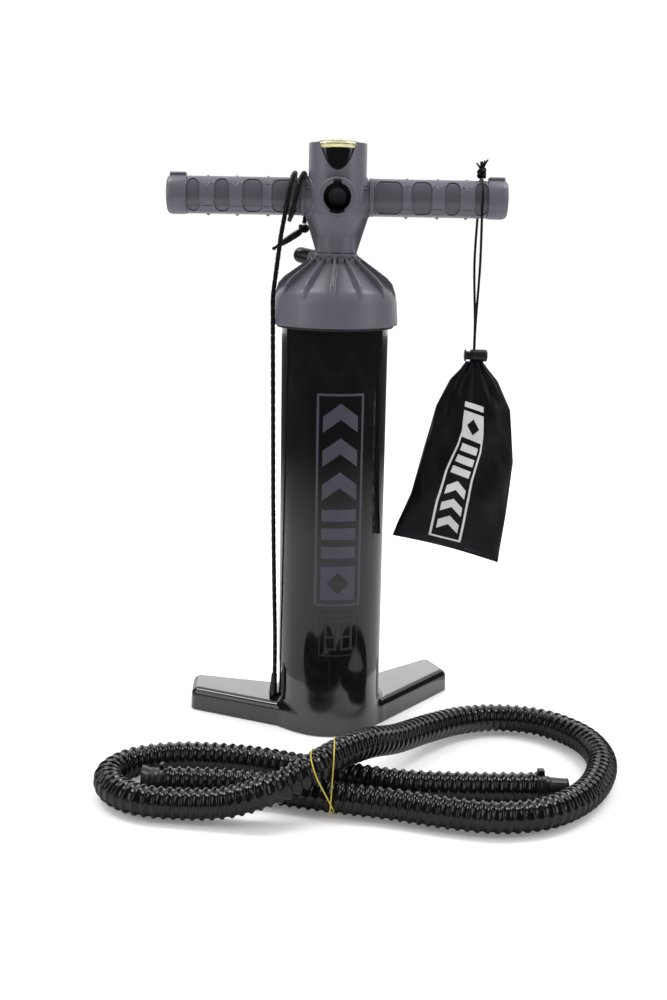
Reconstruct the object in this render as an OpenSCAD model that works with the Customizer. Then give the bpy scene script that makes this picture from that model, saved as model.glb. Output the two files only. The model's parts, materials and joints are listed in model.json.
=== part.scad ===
// Double action hand pump: a barrel moulded in one with its two foot wings, a ribbed screw cap, a hollow
// rod with a piston, and a T-head that carries two grips, a pressure gauge and the hose port.
// The origin is on the barrel's axis at the floor, +X along the handle, -Y out of the hose port, +Z up.

/* [Barrel] */
// Outer diameter of the barrel
barrel_d = 106.4; // [105:0.2:108]
// Wall thickness of the barrel
wall = 4.2; // [4:0.1:4.5]
// Height of the foot wings' top surface above the floor
foot_h = 24; // [22:0.5:25]
// Turn of the foot wings about the barrel's axis, against the handle
foot_turn = 14; // [0:1:20]
// Offset of the foot wings' middle from the barrel's axis
foot_shift = 5; // [0:0.5:6]
// Height of the cap's lower rim above the floor
cap_z = 418.5; // [415:0.5:420]

/* [Cap] */
// Outer diameter of the cap's lower rim
cap_d = 124.4; // [124:0.2:126]
// Number of radial ribs on the cap's cone
cap_ribs = 13; // [9:1:15]
// Width of one rib
rib_w = 3; // [2:0.5:4]

/* [Handle] */
// Length of the handle over its end caps
handle_len = 331; // [330:1:336]
// Height of the handle's axis with the pump closed
handle_z = 541.5; // [540:0.5:543]
// Outer diameter of the grips
grip_d = 36; // [34:0.5:36.5]
// Outer diameter of the tubes inside the grips
tube_d = 32; // [31:0.5:33]
// Outer diameter of the hollow rod
rod_d = 25; // [24:0.5:25]
// Diameter of the hose port's bore
port_d = 26.3; // [26:0.1:27]

/* [Hose and cords] */
// Diameter of the hose over its helical bead
hose_d = 29; // [28:0.5:29.5]
// Diameter of the braided leash
leash_d = 4.5; // [4:0.5:5]
// Diameter of the bag's draw cord
bag_cord_d = 2.5; // [2:0.1:2.8]

/* [Hidden] */
$fn = 64;
running = 0.05;      // radial clearance of a running fit

barrel_r = barrel_d / 2;
bore_r = barrel_r - wall;
floor_z = 20;        // underside of the barrel's floor
floor_t = 4;
barrel_top = cap_z + 23;
neck_r = barrel_r + 3.6;
cover_t = 3;

cap_r = cap_d / 2;
cap_shoulder_z = cap_z + 31;
cone_top_z = cap_z + 69.4;
cone_r = 21;         // radius of the cap's neck
rib_pitch = 360 / cap_ribs;
rib_start = -9.9;
plug_at = rib_start + 5.5 * rib_pitch;
plug_rise = 9;       // the plug's axis rises outwards by this angle
cap_valve_at = rib_start + 3.5 * rib_pitch;

rod_r = rod_d / 2;
rod_bore_r = rod_r - 2.5;
piston_z = floor_z + floor_t + 7;
rod_low = piston_z + 13;
bush_r = 15.5;
bush_low = cone_top_z - 36;
wiper_z = cone_top_z - 7.9;
head_z = cone_top_z + 0.3;   // a gap between the cap and the T-head
rod_top = head_z + 32;

head_r = 28.3;
head_top = handle_z + 51;
notch_r = 17.4;      // half the width of the notch in the T-head's front
notch_h = 26;
pocket_r = 25.5;
pocket_z = handle_z + 20.5;
port_r = port_d / 2;
port_face = 36;
port_depth = 23;
socket_in = 24;      // inner end of the arm tubes
socket_out = 35.5;   // inner end of the grips
arm_screw_x = 33.2;
grip_r = grip_d / 2;
tube_r = tube_d / 2;
end_x = handle_len / 2;
cap_len = 19.3;
grip_end = end_x - cap_len;
window_h = tube_d - 1.4;
window_corner = 5;
windows = [[36.8, 63], [72, 91.5], [104, 118.7], [133.2, grip_end]];

hose_r = hose_d / 2;
lie = 15.5;           // height of the hose's middle where it lies on the floor
hose_route = [
    [-148, -198, lie], [-100, -199, lie], [-62, -204, lie], [-24, -215, lie], [15, -225, lie], [60, -235, lie],
    [106, -249, lie], [152, -256, lie], [194, -246, lie], [230, -216, lie], [254, -175, lie], [265, -130, lie],
    [256, -83, lie], [223, -45, lie], [178, -33, lie], [138, -45, 17], [100, -80, 22], [66, -127, 31],
    [38, -166, 43], [10, -203, 48], [-16, -234, 45.5], [-48, -248, 34], [-88, -246, 20], [-130, -241, lie],
    [-168, -234, lie], [-193, -213, lie], [-200, -185, lie], [-184, -158, lie], [-152, -144, lie],
    [-110, -143, lie], [-66, -151, lie], [-20, -167, lie], [26, -184, lie], [70, -195, lie], [125, -198, lie],
    [192, -196, lie]];

leash_r = leash_d / 2;
leash_low_route = [
    [-57.4, -5, 50], [-57.2, -6, 72], [-57.3, -7, 95], [-58, -9, 131], [-59.6, -12, 220],
    [-60.3, -17, 320], [-60.9, -21.5, 407.5]];
wrap_step = 37;      // angle between the rings of the leash's turns round the arm
wrap_r = (18.7 + leash_r + 0.2) / cos(wrap_step / 2);
// How far along the arm the leash lies at each angle, from under the front of the arm
wrap_x = [[0, -53], [180, -41], [360, -47], [540, -32], [630, -31]];
leash_up_start = [
    [-60.9, -21.5, 408], [-61, -22, 424], [-61, -22, 446], [-59, -20.5, 464], [-56.5, -18.5, 484],
    [-54, -16, 504]];
leash_up_end = [[-31, 24, 528], [-32.5, 20, 516]];

bag_x = 140;         // where the bag hangs on the arm
bag_loop_r = (grip_r + bag_cord_d / 2 + 0.4) / cos(180 / 16);
lock_z = 389.5;
lock_r = 6;
lock_hole_r = 3.2;
plunger_r = 4.3;
bag_cord_front = [[bag_x, -1.45, 376], [bag_x, -1.45, 402], [bag_x, -3, 420], [bag_x + 1, -12, 480]];
bag_cord_back = [[bag_x - 2, 12, 480], [bag_x, 3, 420], [bag_x, 1.45, 402], [bag_x, 1.45, 376]];

// ---- helpers ----

// A solid of revolution from [radius, height] points
module turned(points) rotate_extrude($fn = 96) polygon(points);

// Turns a round piece about its own axis, so that its seam lies clear of what crosses it
module spun() rotate(40) children();

// A plain ring
module ring(r_out, r_in, z, h) translate([0, 0, z]) difference() {
    cylinder(r = r_out, h = h, $fn = 96);
    translate([0, 0, -1]) cylinder(r = r_in, h = h + 2, $fn = 96);
}

// Copies round the barrel's axis
module around(count, start = 0) for (i = [0 : count - 1]) rotate(start + i * 360 / count) children();

function unit(v) = v / norm(v);
function tangent(p, i) = unit(p[min(i + 1, len(p) - 1)] - p[max(i - 1, 0)]);

// The side direction of a ring, carried along the route so that the tube doesn't twist
function carried(side, t) = unit(side - t * (side * t));
function sides(p, i = 0, side = [0.3, 0.2, 0.93], found = []) =
    i == len(p) ? found
    : let (s = carried(side, tangent(p, i))) sides(p, i + 1, s, concat(found, [s]));

function flipped(faces) = [for (f = faces) [for (i = [len(f) - 1 : -1 : 0]) f[i]]];
function rings(p, r, n, s) = [for (i = [0 : len(p) - 1], k = [0 : n - 1])
    p[i] + r * (cos(k * 360 / n) * s[i] + sin(k * 360 / n) * cross(tangent(p, i), s[i]))];
function walls(count, n, first = 0) = [for (i = [0 : count - 2], k = [0 : n - 1])
    let (a = first + i * n + k, b = first + i * n + (k + 1) % n) [a, a + n, b + n, b]];

// A round cord swept along route points
module cord(p, r, n) {
    last = (len(p) - 1) * n;
    polyhedron(points = rings(p, r, n, sides(p)),
        faces = concat(walls(len(p), n), [[for (k = [0 : n - 1]) k], [for (k = [n - 1 : -1 : 0]) last + k]]));
}

// A round hose swept along route points
module hollow_cord(p, r, r_in, n) {
    s = sides(p);
    inner = len(p) * n;
    last = inner - n;
    ends = [for (k = [0 : n - 1]) let (m = (k + 1) % n)
        each [[k, m, inner + m, inner + k], [last + m, last + k, inner + last + k, inner + last + m]]];
    polyhedron(points = concat(rings(p, r, n, s), rings(p, r_in, n, s)),
        faces = concat(walls(len(p), n), flipped(walls(len(p), n, inner)), ends));
}

// Puts the local +Z axis along X, towards the right or the left arm
module along_arm(side) translate([0, 0, handle_z]) rotate([0, side * 90, 0]) children();

// ---- barrel and base ----

// One foot wing, drawn in by a margin all round and cut to a height
module wing(side, margin, h) hull() for (c = [[136, 53], [130, 84], [30, 34], [44, -19]])
    translate([foot_shift + side * c[0], c[1], -0.01]) {
        cylinder(r = 9 - margin, h = max(h - 4, 1), $fn = 32);
        cylinder(r = 7.6 - margin, h = h - 1.2, $fn = 32);
        cylinder(r = 5 - margin, h = h, $fn = 32);
    }

module wings(margin, h) intersection() {
    union() for (side = [-1, 1]) wing(side, margin, h);
    translate([-200, -200, 0]) cube([400, 400, 60]);
}

cover_screw_at = [[123, 64], [67, 22], [-57, 22], [-113, 64]];
inlet_ring_r = 9;

module barrel_housing() color("#1b1c1e") rotate(foot_turn) difference() {
    union() {
        wings(0, foot_h);
        turned([[0, 0], [55.4, 0], [55.4, 20], [54.3, 26], [53.6, 33], [barrel_r, 42], [barrel_r, cap_z - 4],
            [barrel_r, cap_z], [neck_r, cap_z], [neck_r, barrel_top - 1.5], [neck_r - 1.5, barrel_top],
            [0, barrel_top]]);
    }
    translate([0, 0, floor_z + floor_t]) cylinder(r = bore_r, h = barrel_top, $fn = 96);
    difference() {
        union() {
            wings(3.2, foot_h - 3.2);
            translate([0, 0, -1]) cylinder(r = 51.5, h = floor_z + 1, $fn = 96);
        }
        for (p = cover_screw_at) translate([p[0], p[1], cover_t]) cylinder(r = 4.5, h = 30, $fn = 32);
    }
    for (p = cover_screw_at) translate([p[0], p[1], -1]) cylinder(r = 1.5, h = 15, $fn = 24);
    around(6) translate([inlet_ring_r, 0, floor_z - 1]) cylinder(r = 3.2, h = floor_t + 2, $fn = 24);
    for (turn = [70, 90, 110]) rotate(turn) translate([45, -4, -1]) cube([14, 8, 7]);
}

module base_cover() color("#232427") rotate(foot_turn) difference() {
    union() {
        intersection() {
            wings(3.5, foot_h - 3.5);
            translate([-200, -200, 0]) cube([400, 400, cover_t]);
        }
        cylinder(r = 51.2, h = cover_t, $fn = 96);
    }
    for (p = cover_screw_at) translate([p[0], p[1], -1]) {
        cylinder(r = 1.5, h = 10, $fn = 24);
        cylinder(r = 3.6, h = 2.8, $fn = 32);
    }
}

module cover_screws() color("silver") rotate(foot_turn) for (p = cover_screw_at) translate([p[0], p[1], 0.2]) {
    cylinder(r = 3.5, h = 1.6, $fn = 32);
    cylinder(r = 1.5, h = 12, $fn = 24);
}

seat_z = floor_z + floor_t;

module inlet_valve_disc() color("#303030") translate([0, 0, seat_z]) cylinder(r = 14, h = 1.5);

module inlet_cage() color("#55565a") difference() {
    translate([0, 0, seat_z]) cylinder(r = 17.5, h = 5.5);
    translate([0, 0, seat_z - 1]) cylinder(r = 14.5, h = 4.8);
    around(6) translate([9, 0, seat_z]) cylinder(r = 3.6, h = 10, $fn = 24);
}

module barrel_gasket() color("#101010") ring(neck_r + 1.8, barrel_r, cap_z - 4, 4);

// ---- cap ----

module cap() color("#6a6a76") {
    difference() {
        union() {
            turned([[0, cap_z], [cap_r, cap_z], [cap_r - 1.6, cap_shoulder_z - 4],
                [cap_r - 2.6, cap_shoulder_z], [cap_r - 6.5, cap_shoulder_z + 3.9], [cone_r, cone_top_z - 6],
                [cone_r, cone_top_z - 0.7], [cone_r - 0.7, cone_top_z], [0, cone_top_z]]);
            around(cap_ribs, rib_start) rotate([90, 0, 0]) translate([0, 0, -rib_w / 2])
                linear_extrude(rib_w) polygon([[18, cone_top_z - 9], [cone_r - 1, cone_top_z - 2.2],
                    [cone_r + 0.6, cone_top_z - 2.2], [cap_r - 11, cone_top_z - 22.9],
                    [cap_r - 5.5, cone_top_z - 29], [cap_r - 3, cap_shoulder_z + 2],
                    [cap_r - 4, cap_shoulder_z - 2], [54, cap_shoulder_z - 2]]);
            plug_boss();
        }
        difference() {
            turned([[0, cap_z - 1], [neck_r + 0.4, cap_z - 1], [neck_r + 0.4, barrel_top + 2], [50.5, 451.8],
                [18, 481.4], [0, 481.4]]);
            translate([0, 0, bush_low]) cylinder(r = 18.5, h = 60);
            rotate(cap_valve_at) translate([38, 0, cone_top_z - 26]) rotate([0, 39.4, 0])
                cylinder(r = 9, h = 30, $fn = 32);
        }
        translate([0, 0, bush_low + 2]) cylinder(r = bush_r, h = 60);
        translate([0, 0, bush_low - 1]) cylinder(r = rod_r + 0.7, h = 60);
        translate([0, 0, wiper_z]) cylinder(r = 16, h = 20);
        plug_axis() translate([0, 0, -14]) cylinder(r = 5, h = 40);
        plug_axis() cylinder(r = 8.5, h = 30, $fn = 48);
        cap_valve_axis() {
            translate([0, 0, -20]) cylinder(r = 7.2, h = 20, $fn = 32);
            translate([0, 0, -1]) cylinder(r = 1.6, h = 20, $fn = 24);
            around(4) translate([4.2, 0, -1]) cylinder(r = 1.3, h = 20, $fn = 24);
        }
    }
}

// Places children on the plug's axis: the local origin is the boss's outer face, +Z points outwards
module plug_axis() rotate(plug_at) translate([31, 0, cone_top_z - 5.5]) rotate([0, 90 - plug_rise, 0])
    children();

module plug_boss() intersection() {
    plug_axis() translate([0, 0, -14]) cylinder(r = 8.6, h = 14, $fn = 32);
    ring(60, cone_r + 0.3, cone_top_z - 24, 34);
}

// Places children on the cap valve's axis: the local origin is its seat inside the cone, +Z points outwards
module cap_valve_axis() rotate(cap_valve_at) translate([38, 0, cone_top_z - 23.6]) rotate([0, 39.4, 0])
    children();

module cap_valve() color("#2a2a2a") cap_valve_axis() {
    translate([0, 0, -1.2]) cylinder(r = 6.6, h = 1.2, $fn = 32);
    translate([0, 0, -0.1]) cylinder(r = 1.6, h = 6.5, $fn = 24);
}

module rod_bushing() color("#d8d8d2") ring(bush_r, rod_r + running, bush_low + 2, wiper_z - bush_low - 2);

module rod_wiper() color("#202020") ring(16 - running, rod_r + running, wiper_z + 0.3, 3.2);

module wiper_retainer() color("#55565a") ring(16, rod_r + 0.7, wiper_z + 4.2, 3.4);

module action_plug() color("#141414") plug_axis() {
    difference() {
        translate([0, 0, -11]) cylinder(r = 5 - running, h = 12, $fn = 48);
        translate([0, 0, -6]) ring(6, 3.6, 0, 2.6);
    }
    rotate_extrude($fn = 48)
        polygon([[0, 0.4], [8, 0.4], [8, 14], [7.4, 17], [5.6, 19.4], [3, 20.6], [0, 21]]);
}

module plug_seal() color("#3a3a3a") plug_axis() ring(5 - running, 3.6, -6, 2.6);

// ---- rod and piston ----

module rod() color("#c8cacc") difference() {
    ring(rod_r, rod_bore_r, rod_low, rod_top - rod_low);
    around(4, 45) translate([0, 0, piston_z + 45]) rotate([0, 90, 0]) cylinder(r = 3, h = 20, $fn = 24);
    piston_pin_bore();
    neck_screw_bore();
}

module piston_pin_bore() translate([-30, 0, piston_z + 27]) rotate([0, 90, 0]) cylinder(r = 2, h = 60, $fn = 24);

module piston_body() color("#d0d0cc") difference() {
    union() {
        turned([[0, piston_z], [48.2, piston_z], [48.2, piston_z + 3], [45.5, piston_z + 3],
            [45.5, piston_z + 9], [48.2, piston_z + 9], [48.2, piston_z + 13], [43, piston_z + 13],
            [43, piston_z + 19], [48.2, piston_z + 19], [48.2, piston_z + 22], [0, piston_z + 22]]);
        translate([0, 0, piston_z]) cylinder(r = 17, h = 39);
    }
    difference() {
        ring(40, 20, piston_z + 4, 30);
        around(6) translate([15, -1.5, 0]) cube([30, 3, 200]);
    }
    translate([0, 0, rod_low]) cylinder(r = rod_r, h = 60);
    translate([0, 0, piston_z + 5]) cylinder(r = rod_bore_r, h = 60);
    around(5) translate([5.5, 0, piston_z - 1]) cylinder(r = 2.4, h = 10, $fn = 24);
    piston_pin_bore();
}

module piston_seal() color("#202020") ring(bore_r - running, 43, piston_z + 13, 6);
module piston_wear_ring() color("#e8e8e0") ring(bore_r - 0.4, 45.5, piston_z + 3, 6);
module piston_pin() color("silver") intersection() {
    piston_pin_bore();
    translate([0, 0, piston_z]) cylinder(r = 16.8, h = 60);
}

module outlet_valve_disc() color("#303030") translate([0, 0, piston_z + 5]) cylinder(r = 9, h = 1.5);

module outlet_cage() color("#55565a") difference() {
    translate([0, 0, piston_z + 9]) cylinder(r = rod_bore_r, h = 4);
    around(4) translate([5, 0, piston_z + 8]) cylinder(r = 3, h = 10, $fn = 24);
}

module rod_valve_sleeve() color("#303030") ring(rod_bore_r, rod_bore_r - 0.8, piston_z + 40, 10);

// ---- T-head ----

module notch(margin, low) translate([0, -15, 0]) rotate([90, 0, 0]) linear_extrude(30)
    polygon(concat([[notch_r - margin, head_top + 5]],
        [for (i = [8 : -1 : -8])
            [(notch_r - margin) * i / 8, head_top - notch_h + low + notch_h * pow(abs(i) / 8, 2.2)]],
        [[margin - notch_r, head_top + 5]]));

module neck_screw_bore() translate([0, 2, head_z + 10]) rotate([-90, 0, 0]) cylinder(r = 1.8, h = 17.5, $fn = 24);

module arm_screw_bore(side) translate([side * arm_screw_x, tube_r - 3, handle_z]) rotate([-90, 0, 0])
    cylinder(r = 1.2, h = 8, $fn = 24);

module t_head() color("#6a6a76") difference() {
    union() {
        spun() turned([[0, head_z], [19, head_z], [19, head_z + 22], [21, head_z + 30], [head_r, head_z + 40],
            [head_r, head_top - 1], [head_r - 0.8, head_top], [0, head_top]]);
        for (side = [-1, 1]) along_arm(side) {
            spun() cylinder(r = 17.2, h = socket_out);
            translate([0, 0, 30.9]) spun() cylinder(r = 18.6, h = socket_out - 30.9);
        }
        translate([0, 0, handle_z]) rotate([90, 0, 0]) spun() cylinder(r = 18.4, h = port_face);
        translate([0, 2, 0]) rotate([90, 0, 0]) linear_extrude(4)
            polygon([[-20, head_z], [20, head_z], [31.5, handle_z - 16.5], [-31.5, handle_z - 16.5]]);
    }
    translate([0, 0, head_z - 1]) spun() cylinder(r = rod_r, h = rod_top - head_z + 1);
    translate([0, 0, rod_top - 1]) spun() cylinder(r = 10.4, h = handle_z + 14 - rod_top);
    translate([0, 0, handle_z]) rotate([90, 0, 0]) {
        spun() cylinder(r = 9, h = port_face);
        translate([0, 0, port_face - port_depth - 2]) spun() cylinder(r = 12, h = port_face);
        translate([0, 0, port_face - port_depth]) spun() cylinder(r = port_r, h = port_face);
        for (turn = [0, 180]) rotate(turn) translate([-4.1, 10, port_face - 8]) cube([8.2, 6.7, 9]);
    }
    for (side = [-1, 1]) {
        along_arm(side) translate([0, 0, socket_in]) spun() cylinder(r = tube_r, h = 40);
        arm_screw_bore(side);
        translate([side * arm_screw_x, 17.6, handle_z]) rotate([-90, 0, 0]) cylinder(r = 1.9, h = 8, $fn = 24);
    }
    translate([0, 0, pocket_z]) spun() cylinder(r = pocket_r, h = 60, $fn = 96);
    translate([0, 0, handle_z + 10]) cylinder(r = 2, h = 20, $fn = 24);
    notch(0, 0);
    neck_screw_bore();
    translate([0, 17.4, head_z + 10]) rotate([-90, 0, 0]) cylinder(r = 3.4, h = 5, $fn = 24);
}

module neck_screw() color("silver") {
    translate([0, 10.4, head_z + 10]) rotate([-90, 0, 0]) cylinder(r = 1.8, h = 7.2, $fn = 24);
    translate([0, 17.4, head_z + 10]) rotate([-90, 0, 0]) cylinder(r = 3.3, h = 1.4, $fn = 24);
}

module port_gasket() color("#202020") translate([0, 0, handle_z]) rotate([90, 0, 0])
    ring(12, 9, port_face - port_depth - 2, 2);

module arm_tube(side) color("#3a3b40") difference() {
    along_arm(side) ring(tube_r, tube_r - 2, socket_in, end_x - 4 - socket_in);
    arm_screw_bore(side);
}
module arm_tube_left() arm_tube(-1);
module arm_tube_right() arm_tube(1);

module arm_screws() color("silver") for (side = [-1, 1])
    translate([side * arm_screw_x, 0, handle_z]) rotate([-90, 0, 0]) {
        translate([0, 0, tube_r - 3]) cylinder(r = 1.2, h = 6, $fn = 24);
        translate([0, 0, 17.6]) cylinder(r = 1.8, h = 0.8, $fn = 24);
    }

// A round-cornered slot through the front and the back of a grip
module window(x, width) translate([x, 0, handle_z]) rotate([90, 0, 0]) {
    r = window_corner;
    cube([width, window_h - 2 * r, 60], center = true);
    cube([width - 2 * r, window_h, 60], center = true);
    for (u = [-1, 1], v = [-1, 1]) translate([u * (width / 2 - r), v * (window_h / 2 - r), 0])
        cylinder(r = r, h = 60, center = true, $fn = 32);
}

// A grip sleeve: windows through its front and back leave a rail along the top and along the bottom
module grip(side) color("#6a6a76") difference() {
    along_arm(side) {
        ring(grip_r, tube_r, socket_out, grip_end - socket_out);
        for (i = [0 : 2]) translate([0, 0, windows[i][1] + 4])
            rotate(90) for (turn = [90, 270]) rotate(turn) translate([grip_r - 0.6, -2, -2]) cube([1.4, 4, 4]);
    }
    for (w = windows) window(side * (w[0] + w[1]) / 2, w[1] - w[0]);
}
module grip_left() grip(-1);
module grip_right() grip(1);

module end_cap(side) color("#6a6a76") {
    along_arm(side) difference() {
        turned([[0, grip_end], [18.4, grip_end], [18.8, grip_end + 2], [18.8, end_x - 4], [17.9, end_x - 1.4],
            [16, end_x], [0, end_x]]);
        translate([0, 0, grip_end - 1]) cylinder(r = tube_r, h = end_x - 3 - grip_end);
    }
    translate([side * (end_x - cap_len / 2 - 1.2), 0, handle_z]) rotate([0, 0, 0]) difference() {
        translate([-8.4, -5, 10]) cube([16.8, 10, 11.6]);
        rotate([0, 90, 0]) cylinder(r = 18.2, h = 60, center = true);
    }
}
module end_cap_left() end_cap(-1);
module end_cap_right() end_cap(1);

// ---- gauge ----

gauge_top = head_top - 5;

module gauge_body() color("#161616") difference() {
    union() {
        translate([0, 0, pocket_z]) cylinder(r = pocket_r - 0.1, h = gauge_top - pocket_z, $fn = 96);
        intersection() {
            notch(0.25, 0.25);
            translate([0, 0, head_top - 27])
                cylinder(r = head_r - 0.6, h = gauge_top - head_top + 27, $fn = 96);
        }
    }
    translate([0, 0, pocket_z + 4]) cylinder(r = 17, h = gauge_top - pocket_z - 6);
    translate([0, 0, gauge_top - 3]) cylinder(r = 23.5, h = 9);
    translate([0, 0, pocket_z - 1]) cylinder(r = 2, h = 9, $fn = 24);
    translate([0, 0, pocket_z - 1]) ring(6, 4, 0, 2.4);
}

module gauge_seal() color("#303030") translate([0, 0, pocket_z]) ring(6, 4, 0, 1.4);

module gauge_movement() color("#b08d57") difference() {
    union() {
        translate([0, 0, pocket_z + 4]) cylinder(r = 14, h = 9);
        translate([0, 0, pocket_z + 13]) cylinder(r = 4, h = gauge_top - pocket_z - 16);
    }
    translate([0, 0, pocket_z + 3]) cylinder(r = 2, h = 5, $fn = 24);
    translate([0, 0, pocket_z + 9]) cylinder(r = 1 + running, h = 40, $fn = 24);
}

module gauge_dial() color("#e9e9e2") ring(23.5, 4, gauge_top - 3, 1);

module gauge_needle() color("#c02020") {
    translate([0, 0, pocket_z + 9.4]) cylinder(r = 1, h = gauge_top - pocket_z - 7.6, $fn = 24);
    translate([0, 0, gauge_top + 0.6]) cylinder(r = 2.4, h = 1.2, $fn = 24);
    rotate(225) translate([0, 0, gauge_top + 0.6]) linear_extrude(0.8)
        polygon([[-6, -1.6], [-6, 1.6], [18.5, 0.4], [18.5, -0.4]]);
}

module gauge_lens() color("#f2f0c8", 0.4) turned([
    [22.2, gauge_top - 2], [23.4, gauge_top - 2], [23.4, gauge_top], [25.3, gauge_top], [25.3, gauge_top + 3], [23.6, gauge_top + 5.4], [19, gauge_top + 7.2],
    [12, gauge_top + 8.4], [0, gauge_top + 8.9], [0, gauge_top + 7.4], [12, gauge_top + 6.9],
    [18.4, gauge_top + 5.7], [21.4, gauge_top + 4.2], [22.2, gauge_top + 2.6]]);

// ---- hose ----

module hose_tube() color("#141415") hollow_cord(hose_route, hose_r, hose_r - 2.5, 12);

// Places children on one of the hose's ends: +Z points out of the hose
module hose_start() translate(hose_route[0]) rotate([0, -90, 0]) children();
module hose_finish() translate(hose_route[len(hose_route) - 1])
    rotate([0, 0, atan2(2, 67)]) rotate([0, 90, 0]) children();

module hose_plug() color("#5c5c64") hose_start() difference() {
    union() {
        rotate_extrude($fn = 64) polygon([[9.5, 0], [14.6, 0], [14.2, 4], [12.9, 5.4], [12.6, 14], [13.2, 15],
            [15, 19.4], [15, 20.6], [9.5, 20.6]]);
        translate([13, -3.6, 0.4]) cube([5.6, 7.2, 4.2]);
    }
    translate([0, 0, 9]) ring(20, 11.2, 0, 2.6);
}

module hose_plug_seal() color("#202020") hose_start() ring(12.9, 11.2, 9, 2.6);

module hose_collar() color("#1a1a1c") hose_finish() {
    rotate_extrude($fn = 64) polygon([[10.5, 0.2], [14.4, 0.2], [14.4, 7.6], [10.5, 7.6]]);
    translate([-18.2, -3.6, 0.6]) cube([5.4, 7.2, 6.6]);
}

module hose_nozzle() color("#3c3c40") hose_finish()
    rotate_extrude($fn = 64) polygon([[7.5, 0.2], [10.5, 0.2], [10.5, 12], [9.6, 13], [8.4, 28], [8.9, 29.4],
        [6.6, 30], [5.4, 30]]);

// A rubber band in two turns round the three strands where they cross: [across, up] centres of the strands
band_strands = [[-213, 48], [-222, lie], [-176, lie]];
band_t = 0.9;
module band_turn(lean) translate([4, 0, lie]) rotate([0, lean, 0]) translate([-0.8, 0, -lie])
    rotate([90, 0, 90]) linear_extrude(1.6) difference() {
        hull() for (c = band_strands) translate(c) circle(r = hose_r + 0.1 + band_t, $fn = 32);
        hull() for (c = band_strands) translate(c) circle(r = hose_r + 0.1, $fn = 32);
    }
module hose_band() color("#c9a53a") intersection() {
    union() {
        band_turn(-24);
        band_turn(3);
    }
    translate([-100, -300, 0]) cube([200, 200, 100]);
}

// ---- leash ----

function wrap(a) = [lookup(a, wrap_x), -wrap_r * sin(a), handle_z - wrap_r * cos(a)];

leash_up_route = concat(leash_up_start, [for (a = [wrap_step : wrap_step : 630]) wrap(a)], leash_up_end);

module leash_anchor() color("#161616") difference() {
    translate([-58.3, -5, foot_h + 0.05]) hull() {
        cylinder(r = 4.2, h = 3, $fn = 24);
        translate([0.9, 0, 23]) cylinder(r = 3, h = 3, $fn = 24);
    }
    cylinder(r = 55.1, h = 60, $fn = 96);
}

module leash_lower() color("#1a1a1a") cord(leash_low_route, leash_r, 8);
module leash_upper() color("#1a1a1a") cord(leash_up_route, leash_r, 8);

module leash_knot() color("#1a1a1a") translate(leash_up_end[1] - [0.5, 0.5, 5.2]) sphere(r = 5, $fn = 32);

module leash_hook() color("#161616") hull() {
    translate([-37.5, 19, 507]) sphere(r = 3, $fn = 24);
    translate([-63, 18.5, 490.5]) sphere(r = 1.8, $fn = 24);
}

// ---- bag ----

// The bag's outline is a hull of balls: [x, z, radius]
bag_balls = [[71, 208, 9], [169, 181, 8], [92, 200, 13], [150, 188, 12], [112, 225, 17], [150, 220, 17],
    [120, 290, 17], [156, 285, 17], [95, 272, 9], [176, 310, 9], [126, 352, 11], [162, 345, 9], [140, 377, 6]];

module bag() color("#17171a") hull() for (b = bag_balls)
    translate([b[0], 0, b[1]]) sphere(r = b[2], $fn = 24);

function bag_arc(a) = [bag_x, -bag_loop_r * cos(a), handle_z + bag_loop_r * sin(a)];

module bag_cord() color("#222226") difference() {
    cord(concat(bag_cord_front, [for (a = [-22.5 : 22.5 : 202.5]) bag_arc(a)], bag_cord_back),
        bag_cord_d / 2, 8);
    bag();
}

module bag_cord_knot() color("#222226") difference() {
    translate([bag_x, 0, handle_z + bag_loop_r + 3]) scale([1, 1, 1.3]) sphere(r = 4, $fn = 24);
    along_arm(1) cylinder(r = grip_r + bag_cord_d + 0.5, h = 200);
}

module cord_lock() color("#3a3a3e") difference() {
    translate([136, 0, lock_z]) rotate([0, 90, 0]) spun()
        rotate_extrude($fn = 48) polygon([[0, 0], [lock_r - 0.6, 0], [lock_r, 0.8], [lock_r, 16.4],
            [lock_r - 1.2, 17.5], [0, 17.5]]);
    translate([135, 0, lock_z]) rotate([0, 90, 0]) spun()
        cylinder(r = plunger_r + running, h = 16.2);
    translate([bag_x, 0, lock_z - 10]) spun() cylinder(r = lock_hole_r, h = 20, $fn = 32);
}

module lock_plunger() color("#2a2a2e") difference() {
    union() {
        translate([132, 0, lock_z]) rotate([0, 90, 0]) cylinder(r = plunger_r, h = 14);
        translate([130, 0, lock_z]) rotate([0, 90, 0]) cylinder(r = lock_r, h = 2, $fn = 48);
    }
    translate([bag_x, 0, lock_z - 10]) cylinder(r = 3.4, h = 20, $fn = 32);
    translate([bag_x - 3.6, -3.4, lock_z - 10]) cube([3.6, 6.8, 20]);
    translate([bag_x - 3.6, 0, lock_z - 10]) cylinder(r = 3.4, h = 20, $fn = 32);
}

module lock_spring() color("silver") translate([146.1, 0, lock_z]) rotate([0, 90, 0])
    ring(3.6, 2.8, 0, 5);

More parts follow.
